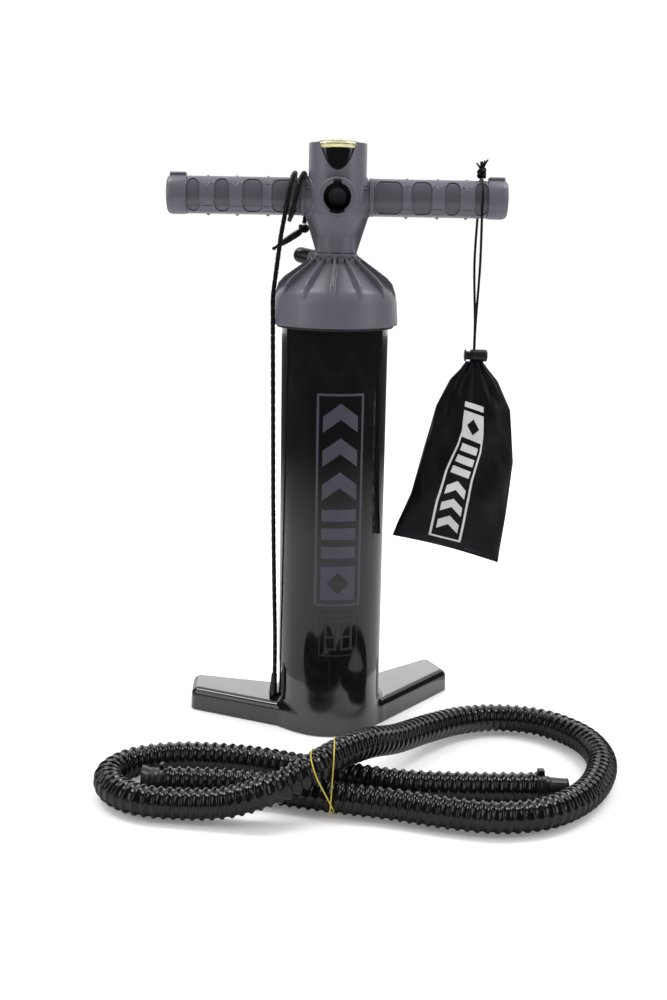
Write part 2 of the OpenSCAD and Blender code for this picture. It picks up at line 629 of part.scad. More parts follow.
barrel_housing();
base_cover();
cover_screws();
inlet_valve_disc();
inlet_cage();
barrel_gasket();
cap();
rod_bushing();
rod_wiper();
wiper_retainer();
cap_valve();
action_plug();
plug_seal();
rod();
piston_body();
piston_seal();
piston_wear_ring();
piston_pin();
outlet_valve_disc();
outlet_cage();
rod_valve_sleeve();
t_head();
neck_screw();
port_gasket();
arm_tube_left();
arm_tube_right();
arm_screws();
grip_left();
grip_right();
end_cap_left();
end_cap_right();
gauge_body();
gauge_seal();
gauge_movement();
gauge_dial();
gauge_needle();
gauge_lens();
hose_tube();
hose_plug();
hose_plug_seal();
hose_collar();
hose_nozzle();
hose_band();
leash_anchor();
leash_lower();
leash_upper();
leash_knot();
leash_hook();
bag();
bag_cord();
bag_cord_knot();
cord_lock();
lock_plunger();
lock_spring();
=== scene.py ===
"""Double action hand pump: camera, cords, pieces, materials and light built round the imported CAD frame."""
import json
import math

import bmesh
import bpy
import numpy as np
from mathutils import Matrix, Vector
from mathutils.bvhtree import BVHTree

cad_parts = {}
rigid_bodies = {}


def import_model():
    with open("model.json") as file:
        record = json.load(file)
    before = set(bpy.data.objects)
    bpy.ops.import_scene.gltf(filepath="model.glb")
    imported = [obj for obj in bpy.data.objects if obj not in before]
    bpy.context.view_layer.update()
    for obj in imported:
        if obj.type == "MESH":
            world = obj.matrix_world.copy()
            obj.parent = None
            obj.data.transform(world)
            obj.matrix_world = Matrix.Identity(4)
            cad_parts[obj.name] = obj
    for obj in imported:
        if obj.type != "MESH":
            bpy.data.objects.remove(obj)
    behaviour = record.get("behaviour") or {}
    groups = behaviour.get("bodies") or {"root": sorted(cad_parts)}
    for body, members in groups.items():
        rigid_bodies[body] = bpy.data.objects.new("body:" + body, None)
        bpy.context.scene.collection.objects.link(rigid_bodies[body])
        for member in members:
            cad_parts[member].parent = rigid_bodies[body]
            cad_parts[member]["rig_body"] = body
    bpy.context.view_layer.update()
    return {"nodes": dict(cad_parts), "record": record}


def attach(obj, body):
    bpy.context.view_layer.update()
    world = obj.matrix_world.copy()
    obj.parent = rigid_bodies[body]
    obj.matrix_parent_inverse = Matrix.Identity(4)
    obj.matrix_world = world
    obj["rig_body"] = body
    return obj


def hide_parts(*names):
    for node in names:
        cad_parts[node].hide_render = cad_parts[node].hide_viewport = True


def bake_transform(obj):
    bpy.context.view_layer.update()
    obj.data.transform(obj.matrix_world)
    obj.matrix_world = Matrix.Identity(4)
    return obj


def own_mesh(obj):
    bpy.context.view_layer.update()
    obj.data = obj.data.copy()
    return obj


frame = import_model()
nodes = frame["nodes"]
slot_of = {s["node"]: s["material_slot"] for s in frame["record"]["subparts"]}
MM = 0.001

# ---- the values that part.scad holds too, in millimetres ----
BARREL_R, BORE_R, FOOT_H, FOOT_TURN, FOOT_SHIFT, CAP_Z = 53.2, 49.0, 24.0, math.radians(14), 5.0, 418.5
BARREL_TOP, NECK_R, CAP_R, SHOULDER_Z, CONE_TOP = 441.5, 56.8, 62.2, 449.5, 487.9
CONE_R, RIBS, RIB_START = 21.0, 13, math.radians(-9.9)
PLUG_AT, PLUG_RISE = RIB_START + 5.5 * 2 * math.pi / RIBS, math.radians(9)
HANDLE_Z, HEAD_Z, HEAD_R, HEAD_TOP, NECK_HEAD_R = 541.5, 488.2, 28.3, 592.5, 19.0
PORT_R, PORT_FACE, PORT_DEPTH, POCKET_R, POCKET_Z = 13.15, 36.0, 23.0, 25.5, 562.0
GRIP_R, TUBE_R, END_X, GRIP_END, SOCKET_OUT = 18.0, 16.0, 165.5, 146.2, 35.5
WINDOWS = [(36.8, 63), (72, 91.5), (104, 118.7), (133.2, 145.6)]
GAUGE_TOP = HEAD_TOP - 5
LIE, HOSE_R = 15.5, 14.5


def placed(name, data):
    """A new object, linked into the scene."""
    o = bpy.data.objects.new(name, data)
    bpy.context.scene.collection.objects.link(o)
    return o


# ---- camera ----
PITCH, ROLL = math.radians(12.834), math.radians(1.043)
forward = Vector((0, math.cos(PITCH), -math.sin(PITCH)))
up = Vector((0, math.sin(PITCH), math.cos(PITCH)))
right = Vector((1, 0, 0))
cam_x = math.cos(ROLL) * right + math.sin(ROLL) * up
cam_y = -math.sin(ROLL) * right + math.cos(ROLL) * up
EYE = (0.001686, -1.25664, 0.52428)
camera = placed("camera", bpy.data.cameras.new("camera"))
camera.matrix_world = Matrix.Translation(EYE) @ Matrix((cam_x, cam_y, -forward)).transposed().to_4x4()
camera.data.sensor_fit, camera.data.sensor_width, camera.data.sensor_height = "VERTICAL", 24, 36
camera.data.lens = 45
camera.data.dof.use_dof = False
bpy.context.scene.camera = camera


# ---- materials, each kept in M under its own name ----
M = {}
GRAIN_HEIGHT = 0.0004


def material(name, color, rough, vary=0.1, grain=900.0, bump=0.02, rough_vary=0.06, blotch=35.0, **sockets):
    """A plastic, rubber or metal: large soft variation in colour and roughness, fine grain in its bump."""
    m = bpy.data.materials.new(name)
    m.use_nodes = True
    t = m.node_tree
    n, link = t.nodes, t.links.new
    bsdf = n["Principled BSDF"]
    place = n.new("ShaderNodeTexCoord")
    cloud = n.new("ShaderNodeTexNoise")
    cloud.inputs["Scale"].default_value = blotch
    cloud.inputs["Detail"].default_value = 4
    link(place.outputs["Object"], cloud.inputs["Vector"])
    ramp = n.new("ShaderNodeValToRGB")
    ramp.color_ramp.elements[0].position, ramp.color_ramp.elements[1].position = 0.3, 0.7
    ramp.color_ramp.elements[0].color = [c * (1 - vary) for c in color] + [1]
    ramp.color_ramp.elements[1].color = [c * (1 + vary) for c in color] + [1]
    link(cloud.outputs["Fac"], ramp.inputs["Fac"])
    link(ramp.outputs["Color"], bsdf.inputs["Base Color"])
    fine = n.new("ShaderNodeTexNoise")
    fine.inputs["Scale"].default_value = grain
    fine.inputs["Detail"].default_value = 2
    link(place.outputs["Object"], fine.inputs["Vector"])
    spread = n.new("ShaderNodeMapRange")
    spread.inputs["To Min"].default_value = max(rough - rough_vary, 0.01)
    spread.inputs["To Max"].default_value = rough + rough_vary
    link(cloud.outputs["Fac"], spread.inputs["Value"])
    link(spread.outputs["Result"], bsdf.inputs["Roughness"])
    raise_ = n.new("ShaderNodeBump")
    raise_.inputs["Strength"].default_value = bump
    raise_.inputs["Distance"].default_value = GRAIN_HEIGHT
    link(fine.outputs["Fac"], raise_.inputs["Height"])
    link(raise_.outputs["Normal"], bsdf.inputs["Normal"])
    for key, value in sockets.items():
        bsdf.inputs[key.replace("_", " ")].default_value = value
    M[name] = m
    return m


def fabric(name, color, rough, pitch, bump, **sockets):
    """A fine woven cloth: crossing threads from two wave textures."""
    m = material(name, color, rough, vary=0.16, grain=2600, bump=0.05, blotch=28, **sockets)
    t = m.node_tree
    n, link = t.nodes, t.links.new
    bsdf = n["Principled BSDF"]
    place = n.new("ShaderNodeTexCoord")
    waves = []
    for direction in ("X", "Z"):
        w = n.new("ShaderNodeTexWave")
        w.bands_direction = direction
        w.inputs["Scale"].default_value = math.pi / (10 * pitch)
        w.inputs["Distortion"].default_value = 0.6
        w.inputs["Detail"].default_value = 1
        link(place.outputs["Object"], w.inputs["Vector"])
        waves.append(w)
    join = n.new("ShaderNodeMath")
    join.operation = "MAXIMUM"
    for i, w in enumerate(waves):
        link(w.outputs["Fac"], join.inputs[i])
    raise_ = n.new("ShaderNodeBump")
    raise_.inputs["Strength"].default_value = bump
    raise_.inputs["Distance"].default_value = pitch * 0.5
    link(join.outputs["Value"], raise_.inputs["Height"])
    old = bsdf.inputs["Normal"].links[0].from_node
    link(old.outputs["Normal"], raise_.inputs["Normal"])
    link(raise_.outputs["Normal"], bsdf.inputs["Normal"])
    return m


material("housing_black", (0.0060, 0.0058, 0.0066), 0.09, rough_vary=0.02, bump=0.004, Coat_Weight=0.5,
         Coat_Roughness=0.03)
material("cover_black", (0.012, 0.012, 0.013), 0.42, bump=0.08)
material("head_grey", (0.118, 0.114, 0.140), 0.36, vary=0.035, grain=1500, bump=0.05, rough_vary=0.04)
material("tube_grey", (0.088, 0.084, 0.102), 0.17, vary=0.05, bump=0.01, rough_vary=0.04)
material("fitting_grey", (0.009, 0.009, 0.010), 0.33, bump=0.05)
material("fitting_black", (0.008, 0.008, 0.009), 0.30, bump=0.05)
material("natural_nylon", (0.62, 0.60, 0.54), 0.4, vary=0.05, bump=0.05)
material("seal_rubber", (0.014, 0.014, 0.015), 0.5, bump=0.12)
material("rod_alloy", (0.62, 0.63, 0.65), 0.24, vary=0.05, Metallic=1.0, Anisotropic=0.5)
material("screw_steel", (0.55, 0.55, 0.56), 0.28, vary=0.06, Metallic=1.0)
material("gauge_brass", (0.60, 0.42, 0.17), 0.32, vary=0.08, Metallic=1.0)
material("dial_white", (0.86, 0.82, 0.55), 0.5, vary=0.02, bump=0.01)
material("needle_red", (0.55, 0.02, 0.02), 0.35, bump=0.02)
material("lens_clear", (0.98, 0.95, 0.70), 0.06, vary=0.01, bump=0.002, rough_vary=0.01,
         Transmission_Weight=0.9, IOR=1.49)
material("hose_black", (0.0055, 0.0055, 0.006), 0.15, vary=0.2, grain=600, bump=0.03, rough_vary=0.05)
material("leash_braid", (0.004, 0.004, 0.004), 0.45, vary=0.3, grain=3500, bump=0.3, Specular_IOR_Level=0.28)
material("cord_black", (0.004, 0.004, 0.005), 0.5, vary=0.3, grain=3500, bump=0.3, Specular_IOR_Level=0.28)
material("band_yellow", (0.62, 0.50, 0.055), 0.42, vary=0.1, bump=0.05)
fabric("bag_fabric", (0.0050, 0.0048, 0.0075), 0.42, 0.0007, 0.12, Sheen_Weight=0.02, Specular_IOR_Level=0.22)

# the gauge's body, the printed marks and the dial's marks have materials of their own
GAUGE_BLACK = material("gauge_black", (0.006, 0.006, 0.007), 0.12, bump=0.01, Coat_Weight=0.3)
PRINT_GREY = material("print_grey", (0.062, 0.062, 0.084), 0.30, vary=0.08, bump=0.02)
PRINT_FAINT = material("print_faint", (0.026, 0.026, 0.034), 0.3, vary=0.08, bump=0.02)
PRINT_WHITE = material("print_white", (0.66, 0.66, 0.67), 0.5, vary=0.05, grain=2500, bump=0.06)
DIAL_MARK = material("dial_mark", (0.02, 0.02, 0.02), 0.5, bump=0.01)


# ---- meshes ----
def mesh_object(name, points, faces, mat, sharp=None, normals=None):
    """Points in millimetres in the row frame."""
    me = bpy.data.meshes.new(name)
    me.from_pydata((np.asarray(points, float) * MM).tolist(), [], [tuple(f) for f in faces])
    me.validate()
    me.shade_smooth()
    if sharp is not None:
        me.set_sharp_from_angle(angle=math.radians(sharp))
    if normals is not None:
        me.normals_split_custom_set_from_vertices(normals.tolist())
    me.materials.append(mat)
    return placed(name, me)


def follow(o, body):
    """o moves with a body."""
    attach(o, body)
    return o


def stand_in(o, node):
    """o is shown for a node, on its body."""
    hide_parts(node)
    return follow(o, nodes[node]["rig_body"])


def look(node, shape, sharp=None, normals=None, mat=None):
    """The mesh NODE_look that is shown for a node, in its slot's material unless another is given."""
    o = mesh_object(f"{node}_look", *shape, mat or M[slot_of[node]], sharp, normals)
    return stand_in(o, node)


def frame_of(direction):
    """A turn that takes +Z to a direction."""
    return np.array(Vector(direction).normalized().to_track_quat("Z", "Y").to_matrix())


def lathe(profile, n=96, at=(0, 0, 0), direction=(0, 0, 1), closed=False):
    """Points and quads of (radius, height) points turned round an axis."""
    prof = np.asarray(profile, float)
    a = np.arange(n) * 2 * math.pi / n
    pts = np.stack([np.outer(prof[:, 0], np.cos(a)), np.outer(prof[:, 0], np.sin(a)),
                    np.repeat(prof[:, 1:], n, 1)], -1).reshape(-1, 3)
    k = len(prof)
    faces = []
    for i in range(k if closed else k - 1):
        i2 = (i + 1) % k
        for j in range(n):
            j2 = (j + 1) % n
            faces.append((i * n + j, i * n + j2, i2 * n + j2, i2 * n + j))
    if not closed:
        for i, flip in ((0, True), (k - 1, False)):
            ringed = [i * n + j for j in range(n)]
            faces.append(tuple(ringed[::-1] if flip else ringed))
    pts = pts @ frame_of(direction).T + np.asarray(at, float)
    return pts, faces


def softened(profile, r=0.6, steps=3, skip=()):
    """Rounds the corners of a (radius, height) line, except its ends and those in skip."""
    p = np.asarray(profile, float)
    out = [p[0]]
    for i in range(1, len(p) - 1):
        if i in skip:
            out.append(p[i])
            continue
        a, b = p[i - 1] - p[i], p[i + 1] - p[i]
        la, lb = np.linalg.norm(a), np.linalg.norm(b)
        cut = min(r, 0.45 * la, 0.45 * lb)
        start, end = p[i] + a / la * cut, p[i] + b / lb * cut
        for s in np.linspace(0, 1, steps + 1):
            out.append((1 - s) ** 2 * start + 2 * s * (1 - s) * p[i] + s * s * end)
    out.append(p[-1])
    return out


def merged(*parts):
    """Several (points, faces) pairs as one."""
    pts, faces, count = [], [], 0
    for p, f in parts:
        pts.append(np.asarray(p, float))
        faces += [tuple(i + count for i in q) for q in f]
        count += len(p)
    return np.concatenate(pts), faces


def box(size, at, r=0.8, turn=None):
    """Points and faces of a box with chamfered edges."""
    half = np.asarray(size, float) / 2
    pts = []
    for axis in range(3):
        u, v = (axis + 1) % 3, (axis + 2) % 3
        for s in (-1, 1):
            for su, sv in ((-1, -1), (1, -1), (1, 1), (-1, 1)):
                q = np.zeros(3)
                q[axis], q[u], q[v] = s * half[axis], su * (half[u] - r), sv * (half[v] - r)
                pts.append(q)
    pts = np.array(pts)
    faces = convex_faces(pts)
    if turn is not None:
        pts = pts @ turn.T
    return pts + np.asarray(at, float), faces


def convex_faces(pts):
    """The faces of the convex hull of a few points."""
    bm = bmesh.new()
    vs = [bm.verts.new(p) for p in pts]
    bm.verts.index_update()
    bmesh.ops.convex_hull(bm, input=vs)
    faces = [tuple(v.index for v in f.verts) for f in bm.faces]
    bm.free()
    return faces


def spline(route, step):
    """A smooth line through the route's points, resampled to an even step."""
    p = np.asarray(route, float)
    p = np.vstack([2 * p[0] - p[1], p, 2 * p[-1] - p[-2]])
    line = []
    for i in range(1, len(p) - 2):
        p0, p1, p2, p3 = p[i - 1:i + 3]
        d = [np.linalg.norm(b - a) ** 0.5 for a, b in ((p0, p1), (p1, p2), (p2, p3))]
        m1 = d[1] * ((p1 - p0) / d[0] - (p2 - p0) / (d[0] + d[1]) + (p2 - p1) / d[1])
        m2 = d[1] * ((p2 - p1) / d[1] - (p3 - p1) / (d[1] + d[2]) + (p3 - p2) / d[2])
        for t in np.linspace(0, 1, 24, endpoint=False):
            h = (2 * t**3 - 3 * t**2 + 1, t**3 - 2 * t**2 + t, -2 * t**3 + 3 * t**2, t**3 - t**2)
            line.append(h[0] * p1 + h[1] * m1 + h[2] * p2 + h[3] * m2)
    line.append(p[-2])
    line = np.array(line)
    s = np.concatenate([[0], np.cumsum(np.linalg.norm(np.diff(line, axis=0), axis=1))])
    even = np.linspace(0, s[-1], max(int(round(s[-1] / step)), 2) + 1)
    return np.stack([np.interp(even, s, line[:, i]) for i in range(3)], -1), s[-1]


def carried(line, side=(0.3, 0.2, 0.93)):
    """Tangents and two side directions that are carried along a line without twist."""
    t = np.gradient(line, axis=0)
    t /= np.linalg.norm(t, axis=1)[:, None]
    s = np.asarray(side, float)
    u = []
    for k in t:
        s = s - k * (s @ k)
        s /= np.linalg.norm(s)
        u.append(s)
    u = np.array(u)
    return t, u, np.cross(t, u)


def sweep(line, radius, n, inner=None):
    """Points and quads of a tube along a line. radius(i, angle) gives its outside; inner makes it hollow."""
    t, u, v = carried(line)
    a = np.arange(n) * 2 * math.pi / n
    i = np.arange(len(line))[:, None]

    def ringed(r):
        r = np.broadcast_to(r, (len(line), n))
        return (line[:, None] + r[..., None] * (np.cos(a)[None, :, None] * u[:, None]
                                                + np.sin(a)[None, :, None] * v[:, None])).reshape(-1, 3)

    pts = ringed(radius(i, a[None]))
    m = len(line)
    j = np.arange(n)
    base = (np.arange(m - 1) * n)[:, None]
    quads = np.stack([base + j, base + n + j, base + n + (j + 1) % n, base + (j + 1) % n], -1).reshape(-1, 4)
    quads = quads[:, ::-1]
    faces = quads.tolist()
    if inner is None:
        faces += [tuple(range(n)), tuple((m - 1) * n + np.arange(n)[::-1])]
        return pts, faces
    inside = ringed(inner)
    k = len(pts)
    faces += (quads[:, ::-1] + k).tolist()
    for start, flip in ((0, False), ((m - 1) * n, True)):
        for q in range(n):
            f = (start + q, start + (q + 1) % n, k + start + (q + 1) % n, k + start + q)
            faces.append(f[::-1] if flip else f)
    return np.vstack([pts, inside]), faces


# ---- rounded solids from distance fields ----
def smin(a, b, k):
    """The nearer of two distances, with the corner between them filled to about k."""
    h = np.clip(0.5 + 0.5 * (b - a) / k, 0, 1)
    return b * (1 - h) + a * h - k * h * (1 - h)


def smax(a, b, k):
    return -smin(-a, -b, k)


def cut(d, tool, k=0):
    """d without a tool's shape; k rounds the new edge."""
    return smax(d, -tool, k) if k else np.maximum(d, -tool)


def corner(u, v, r):
    """Distance to the rounded corner between u = r and v = r."""
    return np.minimum(np.maximum(u, v), 0) + np.hypot(np.maximum(u, 0), np.maximum(v, 0)) - r


def polygon(u, v, pts):
    """Signed distance to a polygon, negative inside."""
    pts = np.asarray(pts, float)
    d = np.full(u.shape, 1e9)
    inside = np.zeros(u.shape, bool)
    for (ax, ay), (bx, by) in zip(pts, np.roll(pts, -1, 0)):
        ex, ey = bx - ax, by - ay
        wx, wy = u - ax, v - ay
        t = np.clip((wx * ex + wy * ey) / (ex * ex + ey * ey), 0, 1)
        d = np.minimum(d, (wx - ex * t) ** 2 + (wy - ey * t) ** 2)
        if ey:
            cross = ((ay > v) != (by > v)) & (u < ex * (v - ay) / ey + ax)
            inside ^= cross
    return np.sqrt(d) * np.where(inside, -1, 1)


def solid(f, low, high, step, sweeps=4):
    """A mesh of f = 0 by surface nets, moved onto the surface, with its normals."""
    low, high = np.asarray(low, float), np.asarray(high, float)
    n = np.ceil((high - low) / step).astype(int) + 1
    axes = [low[i] + step * np.arange(n[i]) for i in range(3)]
    gx, gy, gz = np.meshgrid(*axes, indexing="ij")
    v = f(gx.ravel(), gy.ravel(), gz.ravel()).reshape(n)
    inside = v < 0
    count = np.zeros(n - 1, int)
    for dx in (0, 1):
        for dy in (0, 1):
            for dz in (0, 1):
                count += inside[dx:n[0] - 1 + dx, dy:n[1] - 1 + dy, dz:n[2] - 1 + dz]
    cell = np.argwhere((count > 0) & (count < 8))
    index = np.full(tuple(n - 1), -1)
    index[tuple(cell.T)] = np.arange(len(cell))
    total, hits = np.zeros((len(cell), 3)), np.zeros(len(cell))
    for axis in range(3):
        u, w = (axis + 1) % 3, (axis + 2) % 3
        for du in (0, 1):
            for dw in (0, 1):
                a = cell.copy()
                a[:, u] += du
                a[:, w] += dw
                b = a.copy()
                b[:, axis] += 1
                va, vb = v[tuple(a.T)], v[tuple(b.T)]
                cross = (va < 0) != (vb < 0)
                t = np.where(cross, va / np.where(cross, va - vb, 1), 0)
                p = a.astype(float)
                p[:, axis] += t
                total += p * cross[:, None]
                hits += cross
    pts = low + step * total / hits[:, None]
    faces = []
    for axis in range(3):
        u, w = (axis + 1) % 3, (axis + 2) % 3
        cut = [slice(None)] * 3
        cut2 = [slice(None)] * 3
        cut[axis], cut2[axis] = slice(0, n[axis] - 1), slice(1, n[axis])
        change = inside[tuple(cut)] != inside[tuple(cut2)]
        e = np.argwhere(change)
        e = e[(e[:, u] > 0) & (e[:, u] < n[u] - 1) & (e[:, w] > 0) & (e[:, w] < n[w] - 1)]
        ids = []
        for du, dw in ((-1, -1), (0, -1), (0, 0), (-1, 0)):
            c = e.copy()
            c[:, u] += du
            c[:, w] += dw
            ids.append(index[tuple(c.T)])
        q = np.stack(ids, -1)
        out = inside[tuple(e.T)]
        faces.append(np.where(out[:, None], q, q[:, ::-1]))
    faces = np.vstack(faces)

    def slope(p, h=0.06):
        g = np.empty_like(p)
        for i in range(3):
            a, b = p.copy(), p.copy()
            a[:, i] += h
            b[:, i] -= h
            g[:, i] = (f(*a.T) - f(*b.T)) / (2 * h)
        return g

    edges = np.vstack([faces[:, [i, (i + 1) % 4]] for i in range(4)])
    for k in range(sweeps):
        g = slope(pts)
        size = np.maximum((g**2).sum(1), 0.2)
        move = f(*pts.T)[:, None] * g / size[:, None]
        far = np.linalg.norm(move, axis=1)
        move *= np.minimum(1, step / np.maximum(far, 1e-9))[:, None]
        pts = pts - move
        if k < sweeps - 2:
            mean, number = np.zeros_like(pts), np.zeros(len(pts))
            for i, j in (edges.T, edges[:, ::-1].T):
                np.add.at(mean, i, pts[j])
                np.add.at(number, i, 1)
            pull = mean / np.maximum(number, 1)[:, None] - pts
            unit = g / np.sqrt(size)[:, None]
            pts = pts + 0.5 * (pull - unit * (pull * unit).sum(1)[:, None])
    normals = slope(pts)
    normals /= np.maximum(np.linalg.norm(normals, axis=1), 1e-9)[:, None]
    return pts, faces.tolist(), normals


# ---- cords: the hose, the two stretches of the leash and the bag's draw cord ----
hose_route = [
    [-148, -198, LIE], [-100, -199, LIE], [-62, -204, LIE], [-24, -215, LIE], [15, -225, LIE],
    [60, -235, LIE], [106, -249, LIE], [152, -256, LIE], [194, -246, LIE], [230, -216, LIE],
    [254, -175, LIE], [265, -130, LIE], [256, -83, LIE], [223, -45, LIE], [178, -33, LIE],
    [138, -45, 17], [100, -80, 22], [66, -127, 31], [38, -166, 43], [10, -203, 48], [-16, -234, 45.5],
    [-48, -248, 34], [-88, -246, 20], [-130, -241, LIE], [-168, -234, LIE], [-193, -213, LIE],
    [-200, -185, LIE], [-184, -158, LIE], [-152, -144, LIE], [-110, -143, LIE], [-66, -151, LIE],
    [-20, -167, LIE], [26, -184, LIE], [70, -195, LIE], [125, -198, LIE], [192, -196, LIE]]
HOSE_STEP, BEAD_PITCH, BEAD_H, VALLEY_R, HOSE_INNER_R = 0.94, 8.45, 1.9, 12.6, 11.8
hose_line, hose_length = spline(hose_route, HOSE_STEP)


def bead(i, angle):
    """A narrow rounded helical bead with a fine groove at its foot."""
    phase = (i * hose_length / (len(hose_line) - 1) / BEAD_PITCH + angle / (2 * math.pi)) % 1.0
    d = np.abs(phase - 0.5)
    r = VALLEY_R + BEAD_H * np.clip(np.cos(d * math.pi / 0.56), 0, 1) ** 0.8
    return np.where(d > 0.5, VALLEY_R, r)


hose = look("hose_tube", sweep(hose_line, bead, 34, inner=HOSE_INNER_R))

leash_low_route = [[-57.4, -5, 50], [-57.2, -6, 72], [-57.3, -7, 95], [-58, -9, 131], [-59.6, -12, 220],
                   [-60.3, -17, 320], [-60.9, -21.5, 407.5]]
WRAP_STEP, LEASH_R, CORD_STEP = 37, 2.25, 0.75    # degrees, then millimetres
WRAP_R = (18.7 + LEASH_R + 0.2) / math.cos(math.radians(WRAP_STEP / 2))
wrap_at = np.arange(WRAP_STEP, 631, WRAP_STEP)
wrap_x = np.interp(wrap_at, [0, 180, 360, 540, 630], [-53, -41, -47, -32, -31])
leash_up_route = [[-60.9, -21.5, 408], [-61, -22, 424], [-61, -22, 446], [-59, -20.5, 464],
                  [-56.5, -18.5, 484], [-54, -16, 504]]
leash_up_route += [[x, -WRAP_R * math.sin(a), HANDLE_Z - WRAP_R * math.cos(a)]
                   for x, a in zip(wrap_x, np.radians(wrap_at))]
leash_up_route += [[-31, 24, 528], [-32.5, 20, 516]]


def braid(i, angle, r=LEASH_R, step=CORD_STEP, plait=9.0, strands=4):
    """The outside of a round braid of crossing strands, at a line's point i."""
    s = i * step * 2 * math.pi / plait
    a, b = np.cos(strands * angle + s), np.cos(strands * angle - s)
    return r * (0.84 + 0.20 * np.maximum(np.clip(a, 0, 1) ** 0.6, np.clip(b, 0, 1) ** 0.6))


leash_low_line, leash_low_length = spline(leash_low_route, CORD_STEP)
leash_up_line, leash_up_length = spline(leash_up_route, CORD_STEP)
leash_low = mesh_object("leash_lower_look", *sweep(leash_low_line, braid, 16), M["leash_braid"])
leash_up = mesh_object("leash_upper_look", *sweep(leash_up_line, braid, 16), M["leash_braid"])

BAG_X, BAG_CORD_R = 140.0, 1.25
LOOP_STEP = 22.5
BAG_LOOP_R = (GRIP_R + BAG_CORD_R + 0.4) / math.cos(math.radians(LOOP_STEP / 2))
bag_route = [[BAG_X, -1.45, 376], [BAG_X, -1.45, 402], [BAG_X, -3, 420], [BAG_X + 1, -12, 480]]
bag_route += [[BAG_X, -BAG_LOOP_R * math.cos(a), HANDLE_Z + BAG_LOOP_R * math.sin(a)]
              for a in np.radians(np.arange(-LOOP_STEP, 203, LOOP_STEP))]
bag_route += [[BAG_X - 2, 12, 480], [BAG_X, 3, 420], [BAG_X, 1.45, 402], [BAG_X, 1.45, 376]]
bag_line, bag_cord_length = spline(bag_route, 0.6)
bag_cord = look("bag_cord", sweep(bag_line, lambda i, a: braid(i, a, BAG_CORD_R, 0.6, 5.0, 3), 12))

# The knot and the tapered tag at the leash's end
knot_at = np.array([-32.5, 20, 516]) - [0.5, 0.5, 5.2]
a = np.linspace(0, 4 * math.pi, 70)
knot_line = knot_at + np.stack(
    [2.9 * np.cos(a) + 0.8 * np.cos(2.5 * a), 2.9 * np.sin(a), 2.2 * np.sin(1.5 * a)], -1)
leash_knot = look("leash_knot", sweep(knot_line, lambda i, a: braid(i, a, 2.1, 0.55, 7.0, 4), 14))
tag_a, tag_b = np.array([-37.5, 19, 507.0]), np.array([-63, 18.5, 490.5])
tag_len = np.linalg.norm(tag_b - tag_a)
leash_tag = mesh_object("leash_tag_look", *lathe(softened(
    [(0, -3.2), (2.4, -2.6), (3.4, 0), (3.6, 6), (3.4, 9), (3.3, 9.6), (3.5, 10.2), (3.2, 16), (2.9, 19),
     (2.0, tag_len - 6), (1.5, tag_len - 4), (1.4, tag_len - 2.4), (1.9, tag_len - 1.4),
     (1.8, tag_len + 0.6), (0, tag_len + 1.5)], 0.5), 40, tag_a, tag_b - tag_a), M["fitting_black"], 50)
stand_in(leash_tag, "leash_hook")

# The draw cord's knot with its frayed end
top = HANDLE_Z + BAG_LOOP_R + 4.6
a = np.linspace(0, 4.4 * math.pi, 80)
bag_knot_line = np.array([BAG_X, 0, top]) + np.stack(
    [3.0 * np.cos(a), 2.8 * np.sin(a), np.linspace(-3.4, 4.2, 80) + 0.8 * np.sin(2 * a)], -1)
frays = [sweep(bag_knot_line, lambda i, a: braid(i, a, 1.75, 0.5, 5.0, 3), 10)]
for lean in ((-1.1, 0.3), (-0.3, -0.4), (0.6, 0.2), (1.2, 0.5), (0.1, 0.8)):
    t = np.linspace(0, 1, 12)[:, None]
    end = np.array([BAG_X, 0, top + 3]) + t * [lean[0] * 4.0, lean[1] * 3, 9.5 + 1.5 * lean[0]]
    frays.append(sweep(end + t**2 * [0.9 * lean[0], 0, -0.8], lambda i, a: 1.35 - 0.055 * i, 8))
bag_knot = look("bag_cord_knot", merged(*frays))

# The leash's two stretches cross joints, so they ride on no body
for o, node in ((leash_low, "leash_lower"), (leash_up, "leash_upper")):
    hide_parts(node)
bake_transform(leash_low)
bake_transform(leash_up)


# ---- hose fittings: the plug at the hose's left end, the collar and tip at its right end ----
first, last = np.array(hose_route[0]), np.array(hose_route[-1])
last_dir = last - hose_route[-2]
plug_ring = lathe(softened(
    [(9.5, 0), (14.6, 0), (14.6, 1.6), (14.2, 4), (12.9, 5.4), (12.6, 8.6), (12.6, 14), (13.2, 15),
     (15, 19.4), (15, 20.6), (11, 20.6), (9.5, 19.5)], 0.5), 72, first, (-1, 0, 0), closed=True)
plug_lug = box((4.2, 7.2, 5.6), first + [-2.5, 0, 15.6], 0.9)
hose_plug = look("hose_plug", merged(plug_ring, plug_lug), 40)
collar_ring = lathe(softened(
    [(10.6, 0.2), (14.4, 0.2), (14.4, 2.4), (13.9, 2.8), (13.9, 3.6), (14.4, 4), (14.4, 7.6),
     (10.6, 7.6)], 0.5), 72, last, last_dir, closed=True)
collar_lug = box((6.6, 7.2, 5.4), last + [3.9, 0, 15.5], 0.9)
hose_collar = look("hose_collar", merged(collar_ring, collar_lug), 40)
hose_nozzle = look("hose_nozzle", lathe(softened(
    [(7.5, 0.2), (10.5, 0.2), (10.5, 12), (9.6, 13), (8.4, 28), (8.9, 29.4), (6.6, 30), (5.4, 30)], 0.5),
    64, last, last_dir, closed=True), 40)


# ---- the rubber band round the hose's crossing ----
# The band's turns lean apart and cut the strands as circles, each given by its (y, z) middle. The upper
# strand crosses slantwise, so two circles stand for its long section in each turn.
BAND_X, BAND_R = 4, 0.62
LOW_STRANDS = [[-222, LIE], [-176, LIE]]
BAND_TURNS = [(-24, [[-234, 45.4], [-219, 43.4]]), (3, [[-216, 46.8], [-200, 46.8]])]


